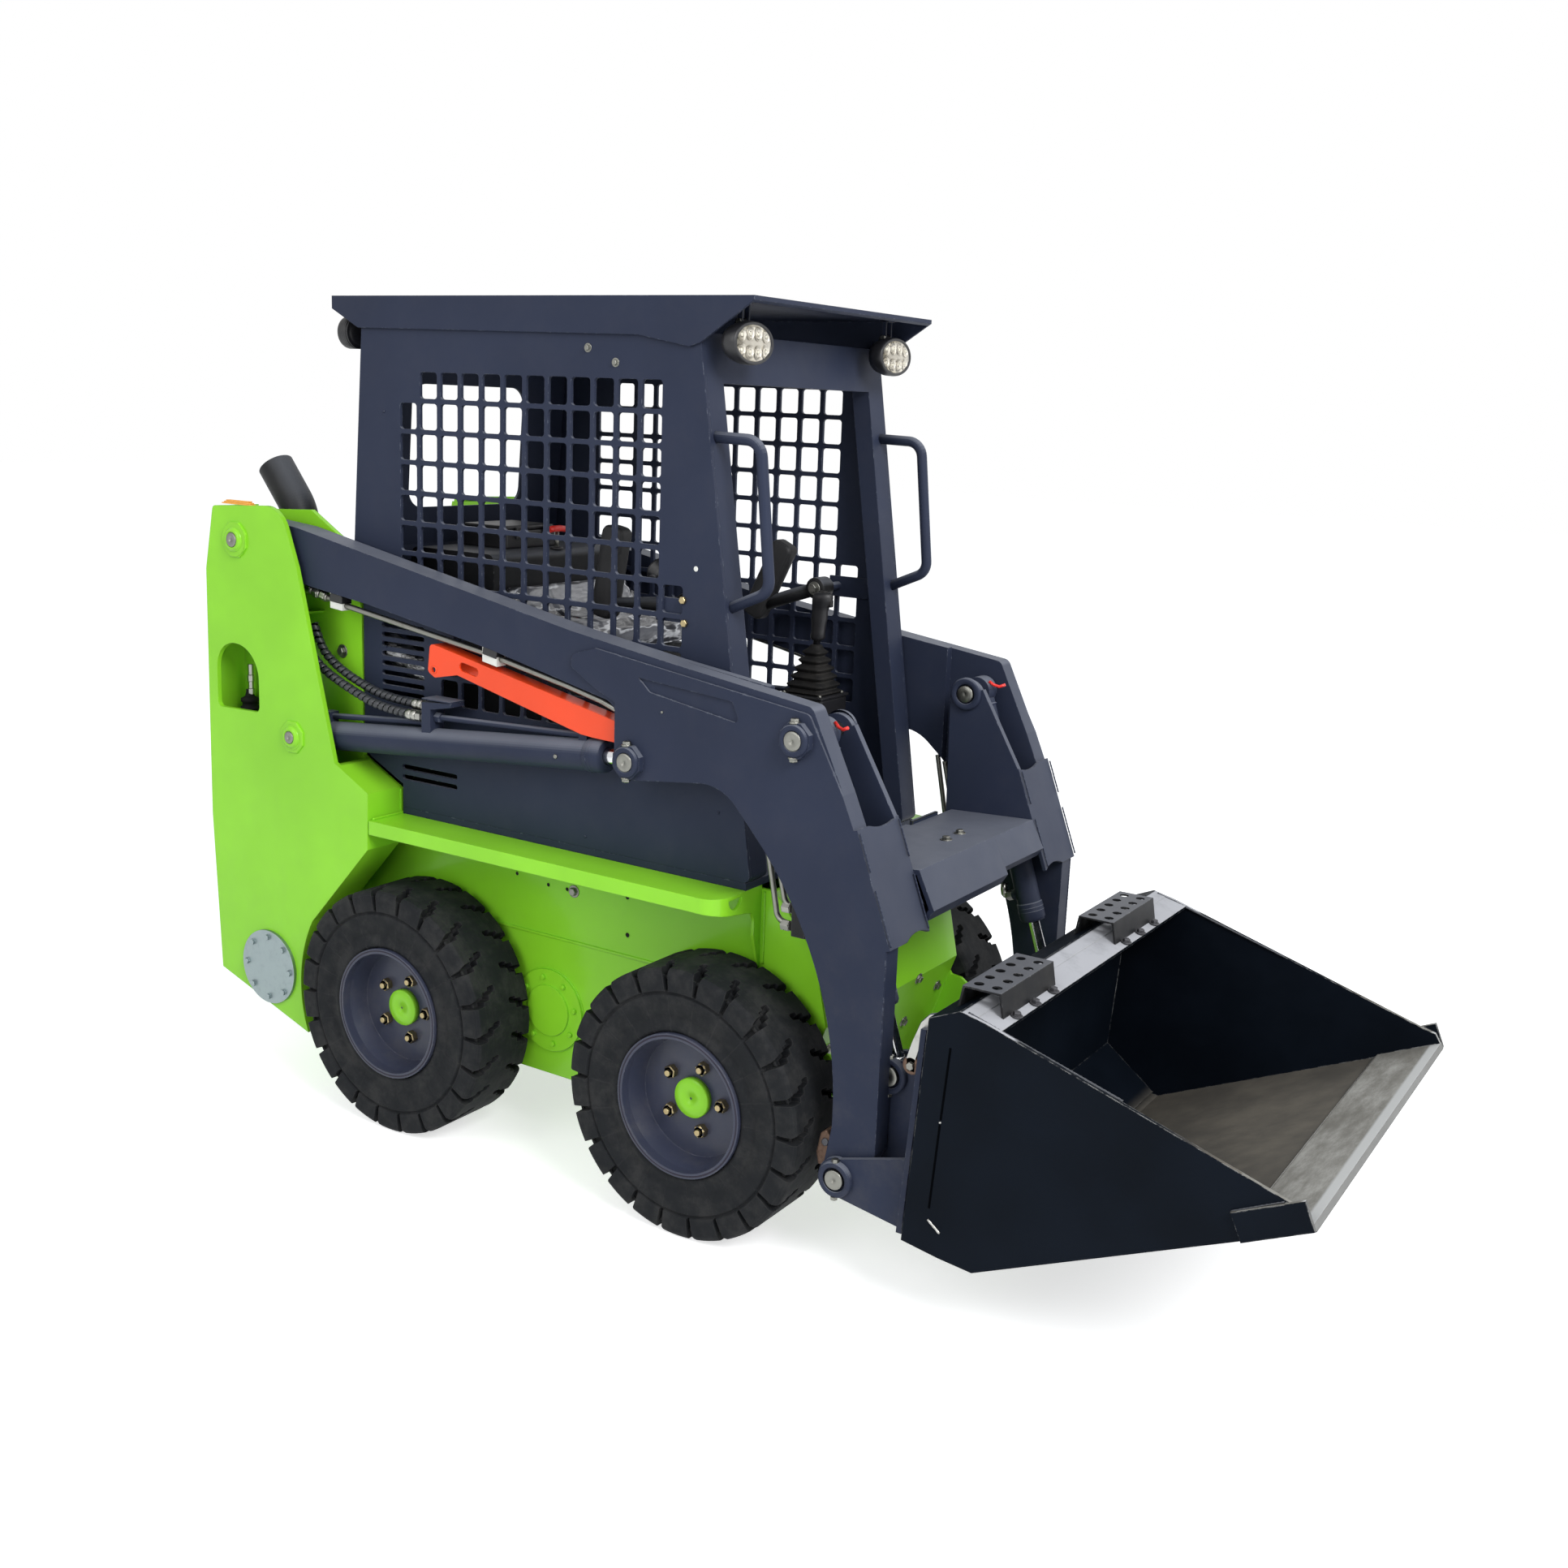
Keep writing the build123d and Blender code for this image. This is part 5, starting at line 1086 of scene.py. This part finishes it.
def make_joysticks():
    """Levers with square rubber bellows, a shaped grip with a rocker and a trigger, and the box below."""
    for hand, side in HANDS:
        y = hand * 205
        centre = (290, y)
        shape = Shape()
        rows = [square_ring(centre, *ring) for ring in ((1075, 56, 18), (1082, 56, 18), (1084, 50, 17))]
        folds = 5
        for i in range(folds):
            share = i / folds
            wide, low = 51 - 31 * share, 1086 + i * 19.5
            for up, out, corner in ((0, -7, 13), (2.5, -6.5, 13), (9, 0, 14), (12, 0.3, 14), (17, -8, 12)):
                rows.append(square_ring(centre, low + up, wide + out, corner - 4 * share, 2.2 * share))
        rows += [square_ring(centre, 1186, 15, 12, 4), square_ring(centre, 1194, 14, 12, 4)]
        shape.rows(rows, "soft_rubber", BOTH)
        subdivide(shape.done(f"lever_boot_{side}", "chassis", "joysticks", slot="soft_rubber"))
        grip = Shape()
        lean = Vector((0.05, 0, 1)).normalized()
        base = Vector((294, y, 1180))
        profile = [(9, 0), (9, 22), (15, 24), (17.5, 30), (16, 44), (17, 62), (19, 78), (18, 94)]
        profile += [(20, 106), (23, 116), (24, 126), (22, 135), (15, 139), (3, 140.5)]
        rows = []
        for radius, up in profile:
            middle = base + lean * up
            bend = 6 * max(0, up - 90) / 50
            ring = []
            for a in turns(24):
                swell = 1 + 0.22 * max(0, cos(a)) * (up > 24)
                forward = radius * swell * cos(a) + bend
                ring.append(middle + Vector((forward, radius * 0.86 * sin(a), 0)))
            rows.append(ring)
        grip.rows(rows, "black_plastic", BOTH)
        head = base + lean * 139
        rocker = head + Vector((-2, -8, -3)), head + Vector((16, 8, 4))
        grip.block(*rocker, "soft_rubber", 2)
        trigger = head + Vector((22, -6, -34)), head + Vector((33, 6, -16))
        grip.block(*trigger, "soft_rubber", 3)
        grip.block((230, y - 60, 765), (350, y + 60, 1071), "black_plastic", 8)
        grip.block((226, y - 63, 1068), (354, y + 63, 1076), "black_plastic", 4)
        for dx in (-50, 50):
            for dy in (-50, 50):
                grip.bolt((290 + dx, y + dy, 1076), UP, 5, "steel")
        grip.done(f"lever_{side}", "chassis", "joysticks", slot="black_plastic")


def make_console():
    """Latched box behind the seat and the red T-shaped stop handle."""
    shape = Shape()
    shape.block((-560, -110, 1380), (-410, 70, 1424), "black_plastic", 5)
    shape.block((-556, -106, 1424), (-414, 66, 1436), "black_plastic", 5)
    for y in (-70, 30):
        shape.block((-410, y - 10, 1404), (-404, y + 10, 1432), "black_plastic", 1.5)
    shape.tube([(-346, 0, 1380), (-346, 0, 1424)], 6, "steel", 16)
    bar = [(-346, -30, 1429), (-346, -12, 1431), (-346, 12, 1431), (-346, 30, 1429)]
    shape.tube(bar, 8, "red_plastic", 16)
    shape.lathe((-346, 0, 1380), UP, [(16, 0), (16, 4), (13, 7), (7, 8)], "black_plastic", 28)
    shape.done("stop_handle_console", "chassis", "rear_console", slot="black_plastic")


def make_engine_trim():
    """Radiator with fins, tanks and cap on the engine's rear face, and the air cleaner on top."""
    shape = Shape()
    for z in range(312, 800, 12):
        shape.block((-1040, -190, z), (-1029, 190, z + 2), "nickel_dark", 0)
    for y in range(-180, 190, 30):
        shape.block((-1037, y - 2, 305), (-1029, y + 2, 802), "black_paint", 0)
    for low, high in ((262, 308), (798, 860)):
        shape.block((-1048, -205, low), (-1029, 205, high), "black_paint", 8)
    for y in (-205, 190):
        shape.block((-1044, y, 300), (-1029, y + 15, 806), "black_paint", 2)
        for z in (330, 555, 780):
            shape.bolt((-1044, y + 7.5, z), BACK, 6, "steel")
    shape.lathe((-1034, 120, 858), UP, [(13, 0), (13, 8), (19, 9), (19, 16), (16, 19), (5, 20)], "steel", 28)
    can = [(44, 0), (50, 4), (50, 58), (53, 60), (53, 68), (50, 70)]
    can += [(50, 232), (44, 240), (18, 241), (18, 262), (14, 264)]
    shape.lathe((-900, -150, 950), LEFT, can, "black_plastic", 40)
    for y in (-70, 50):
        shape.block((-915, y - 10, 896), (-885, y + 10, 904), "black_paint", 2)
    shape.done("engine_trim", "chassis", slot="iron")


def make_gauge_pod():
    """Round gauge pod on a stalk from the inside of the right-hand cab wall."""
    shape = Shape()
    centre = Vector((226, -318, 1390))
    shape.tube([(226, CAB_IN, 1380), (226, -336, 1385), centre], 9, "black_plastic", 16)
    body = [(10, -24), (22, -20), (27, -12), (27, 7), (30, 9), (30, 14), (26, 15), (25, 13), (0.5, 12.6)]
    shape.lathe(centre, (-0.85, 0.35, 0.35), body, "black_plastic", 40)
    shape.done("gauge_pod", "chassis")


# ------------------------------------------------ soft parts
def puff(obj, cap, voxel, hold=None):
    """Swells a pad with Blender's cloth under pressure and applies the result.
    cap is the furthest that a point may move and voxel the mesh size; hold picks the points that stay."""
    frames = 20
    mod = obj.modifiers.new("remesh", "REMESH")
    mod.mode = "VOXEL"
    mod.voxel_size = voxel * MM
    apply_all(obj)
    start = [v.co.copy() for v in obj.data.vertices]
    cloth = obj.modifiers.new("cloth", "CLOTH")
    cloth.settings.use_pressure = True
    cloth.settings.uniform_pressure_force = 4.0
    cloth.settings.effector_weights.gravity = 0
    cloth.settings.tension_stiffness = 40
    cloth.settings.compression_stiffness = 40
    cloth.settings.bending_stiffness = 2
    cloth.point_cache.frame_start, cloth.point_cache.frame_end = 1, frames
    for frame_number in range(1, frames + 1):
        bpy.context.scene.frame_set(frame_number)
    shaped = obj.evaluated_get(bpy.context.evaluated_depsgraph_get())
    moved = [v.co.copy() for v in shaped.to_mesh().vertices]
    shaped.to_mesh_clear()
    obj.modifiers.remove(cloth)
    bpy.context.scene.frame_set(1)
    for vertex, was, now in zip(obj.data.vertices, start, moved):
        step = now - was
        if hold and hold(was):
            step = Vector()
        elif step.length > cap * MM:
            step *= cap * MM / step.length
        vertex.co = was + step
    obj.data.polygons.foreach_set("use_smooth", [True] * len(obj.data.polygons))


def apply_all(obj):
    """Replaces the object's mesh by the one that its modifiers make."""
    deps = bpy.context.evaluated_depsgraph_get()
    mesh = bpy.data.meshes.new_from_object(obj.evaluated_get(deps))
    old = obj.data
    obj.modifiers.clear()
    obj.data = mesh
    bpy.data.meshes.remove(old)


def make_seat():
    """Low bucket seat under clear film: swollen cushion and back, sewn channels, loose folds."""
    shape = Shape()
    outline = [(-320, 1157), (-97, 1157), (-92, 1214), (-120, 1228)]
    outline += [(-240, 1230), (-272, 1262), (-286, 1306), (-320, 1308)]
    shape.solid([(x, -216, z) for x, z in outline], (0, 432, 0), "seat_cover", 16)
    obj = shape.loose("seat_cushion")
    base = 1160 * MM
    back = -314 * MM + MID_X
    puff(obj, 8, 6.0, lambda p: p.z < base or p.x < back)
    subdivide(obj)
    apply_all(obj)
    # sewn channels across the cushion and the folds of the film that covers it
    normals = [vertex.normal.copy() for vertex in obj.data.vertices]
    for vertex, normal in zip(obj.data.vertices, normals):
        p = vertex.co
        x, y, z = (p.x - MID_X) / MM, p.y / MM, p.z / MM
        if z < 1172 or x < -312:
            continue
        sink = 0.0
        for seam in (-110, 110):
            sink += 4.5 * exp(-(((y - seam) / 7) ** 2))
        sink += 3.5 * exp(-(((x + 175) / 7) ** 2)) * (abs(y) < 106)
        crumple = noise.ridged_multi_fractal(Vector((p.x * 6, p.y * 3, p.z * 6)), 1.0, 2.1, 4, 1.0, 2.0) - 1.0
        fold = noise.noise(Vector((p.x * 16, p.y * 7, p.z * 16))) * 2.2
        vertex.co += normal * ((crumple * 2.6 + fold - sink) * MM)
    dress(obj, "chassis", "seat", slot="seat_cover")


def make_lap_bars():
    """Lap bar arms: painted tube and sleeve, and a swollen foam pad with a sewn edge."""
    hinge_x, hinge_z = 262, 1322
    # foot of the arm, tilt of the pad in degrees, and the side
    bars = {"right": (28, 1300, 10, -1), "left": (84, 1262, 26, 1)}
    for side, (fx, fz, tilt, hand) in bars.items():
        body = f"lap_bar_{side}"
        y = hand * 262
        tube = Shape()
        arm = [(hinge_x, y, hinge_z), ((hinge_x + fx) / 2, y, (hinge_z + fz) / 2), (fx + 8, y, fz)]
        tube.tube(arm, 16.5, "black_paint", 28)
        sleeve = [(10.6, 0), (25, 0), (26, 2), (26, 46), (25, 48), (10.6, 48)]
        tube.lathe((hinge_x, y - 24, hinge_z), LEFT, sleeve, "black_paint", 40, OPEN)
        bend = (2.7, 2.9, 3.1, 3.3, 3.5)
        seam = [(hinge_x + 27 * cos(a), y + 18 * sin(a), hinge_z + 27 * sin(a)) for a in bend]
        weld(tube, seam, "black_paint", 2.5, 31)
        tube.bolt((hinge_x, y - hand * 26, hinge_z), (0, -hand, 0), 11, "steel", "steel")
        tube.done(f"lap_tube_{side}", body, body)
        lean = radians(tilt)
        along = Vector((sin(lean), 0, cos(lean)))
        across = Vector((cos(lean), 0, -sin(lean)))
        middle = Vector((fx, y, fz)) + along * 75
        half_wide, half_long, corner = 30, 104, 17
        outline = []
        for a in turns(24):
            u = (half_wide - corner) * (1 if cos(a) > 0 else -1) + corner * cos(a)
            v = (half_long - corner) * (1 if sin(a) > 0 else -1) + corner * sin(a)
            outline.append(middle + across * u + along * v)
        pad = Shape()
        pad.solid([(p.x, y - 21, p.z) for p in outline], (0, 42, 0), "pad_foam", 5)
        obj = pad.loose(f"lap_pad_{side}")
        puff(obj, 3.5, 4.0)
        subdivide(obj)
        apply_all(obj)
        centre = at(*middle)
        normals = [vertex.normal.copy() for vertex in obj.data.vertices]
        for vertex, normal in zip(obj.data.vertices, normals):
            off = abs((vertex.co - centre).y) / MM
            vertex.co -= normal * (1.6 * exp(-(((off - 17) / 2.2) ** 2)) * MM)
        dress(obj, body, body, slot="soft_rubber")


# ------------------------------------------------ coupler and bucket
def make_coupler_trim():
    """Pin faces and collars of the coupler, and the two latch levers."""
    shape = Shape()
    for pin, station in ((BUCKET_PIVOT, COUPLER_OUT), (TILT_EYE, COUPLER_MID)):
        ring = [(38, -1), (38, 9), (35, 12), (26, 12), (25.4, 9)]
        shape.lathe(spot(pin, station), RIGHT, ring, "slate_paint", 48, caps=OPEN)
        face = [(20.5, 4), (20.5, 12.5), (19, 13.5), (3, 13.7), (2.6, 12.8), (0.5, 12.6)]
        shape.lathe(spot(pin, station), RIGHT, face, "steel", 40)
        for up in (1, -1):
            shape.bolt((pin[0], station - 6, pin[1] + up * 37), (0, 0, up), 8, "steel", None, 7)
    # latch lever: flat bar that hooks over the bucket's edge, with its pivot nut
    lever = [(950, 498), (946, 524), (958, 560), (974, 604), (992, 624), (1026, 636)]
    lever += [(1030, 624), (1002, 610), (988, 594), (974, 552), (964, 520), (968, 498)]
    shape.solid([(x, -449, z) for x, z in lever], (0, -8, 0), "bare_edge", 1.5)
    boss = [(19, 0), (19, 9), (16, 11), (8, 11)]
    shape.lathe((958, -446, 511), RIGHT, boss, "rust", 36)
    shape.bolt((958, -457, 511), RIGHT, 9, "steel")
    weld(shape, [(966, -450, 190), (985, -450, 470)], "slate_paint", 2.4, 41)
    shape.done("coupler_trim", "bucket", mirror=True)


def make_leg_stops():
    """Rusty stop blocks low on each leg."""
    stop = Shape()
    ring = [(748, 238), (765, 243), (776, 262), (775, 306), (764, 318), (751, 308), (742, 264)]
    stop.solid([(x, -440, z) for x, z in ring], (0, 38, 0), "rust", 4)
    stop.lathe((764, -440, 292), RIGHT, [(8, -1), (8, 3), (6, 4)], "iron", 20)
    stop.done("leg_stop", "lift_arm", mirror=True)


def make_bucket_trim():
    """Slots in the cheeks, drawn as thin near-black strips of painted shade, weld seams, and the bolts of the
    steps.
    """
    shape = Shape()
    for hand in (-1, 1):
        y = hand * BUCKET_HALF
        for start, end in (((1062, 587), (1050, 440)), ((1049, 430), (1036, 256))):
            run = Vector((end[0] - start[0], 0, end[1] - start[1])).normalized()
            wide = Vector((run.z, 0, -run.x)) * 2.2
            p, q = Vector(spot(start, y)), Vector(spot(end, y))
            # each slot is a thin near-black strip on the cheek: painted shade where the opening is dark
            shape.solid([p + wide, q + wide, q - wide, p - wide], (0, hand * 0.5, 0), "gap_black")
        # marks between and below the slots, then the cutter's weld and the cheek's upper edge
        seams = (
            (hand * 0.5, ((1049.6, 434), (1049.2, 437)), "bare_edge", 2.4, 51),
            (hand * 0.5, ((1035, 233), (1062, 212)), "bare_edge", 2.6, 52),
            (hand, ((1612, 430), (1635, 381), (1752, 438)), "black_paint", 2.2, 53),
            (hand, ((1612, 430), (1700, 474)), "black_paint", 2.2, 54),
            (hand * -10, ((1090, 660), (1400, 569)), "black_paint", 2.5, 55),
        )
        for off, points, look, width, seed in seams:
            weld(shape, [spot(p, y + off) for p in points], look, width, seed)
    # weld line across the floor behind the cutting edge
    weld(shape, [(1621, -488, 386), (1621, 488, 386)], "bare_edge", 3.2, 56)
    for middle in (-330, 219):
        for y in (middle - 84, middle, middle + 84):
            shape.bolt((1153, y, 646), (0.1, 0, 1), 8, "iron", "iron", 7)
    shape.done("bucket_trim", "bucket")
    # weld beads of the hooks on the back
    back = Shape()
    for y in (-420, -140, 140, 420):
        for off in (-8, 8):
            weld(back, [(972, y + off, 190), (1000, y + off, 590)], "black_paint", 2.2, 57)
    back.done("bucket_back_welds", "bucket")


make_tower_trim()
make_chassis_trim()
make_nose_lugs()
make_tower_sling()
make_arm_trim()
make_pipe_trim()
make_strut_trim()
make_crossbeam_trim()
make_couplings()
make_lift_barrel_trim()
make_tilt_barrel_trim()
make_hoses()
make_cab_trim()
make_handles()
make_front_lamps()
make_rear_lamps()
make_joysticks()
make_console()
make_engine_trim()
make_gauge_pod()
make_seat()
make_lap_bars()
make_coupler_trim()
make_leg_stops()
make_bucket_trim()


# ------------------------------------------------ floor
def make_floor():
    """White floor that keeps the shadow: pale as light, lifted to white where it is seen."""
    look = Look("floor", Roughness=0.9, Specular_IOR_Level=0)
    grey = look.mix(look.span(look.noise(0.8, 4), 0.3, 0.7), linear(228, 228, 228), linear(234, 234, 234))
    look.set("Base Color", grey)
    look.shader.inputs["Emission Color"].default_value = (1, 1, 1, 1)
    look.set("Emission Strength", look.times(seen(look.tree), 0.62))
    mesh = bpy.data.meshes.new("floor")
    reach = 30
    corners = [(-reach, -reach, 0), (reach, -reach, 0), (reach, reach, 0), (-reach, reach, 0)]
    mesh.from_pydata(corners, [], [(0, 1, 2, 3)])
    mesh.materials.append(look.material)
    floor = link("floor", mesh)
    floor.location.z = cad_box[0][2] - 0.0005


make_floor()
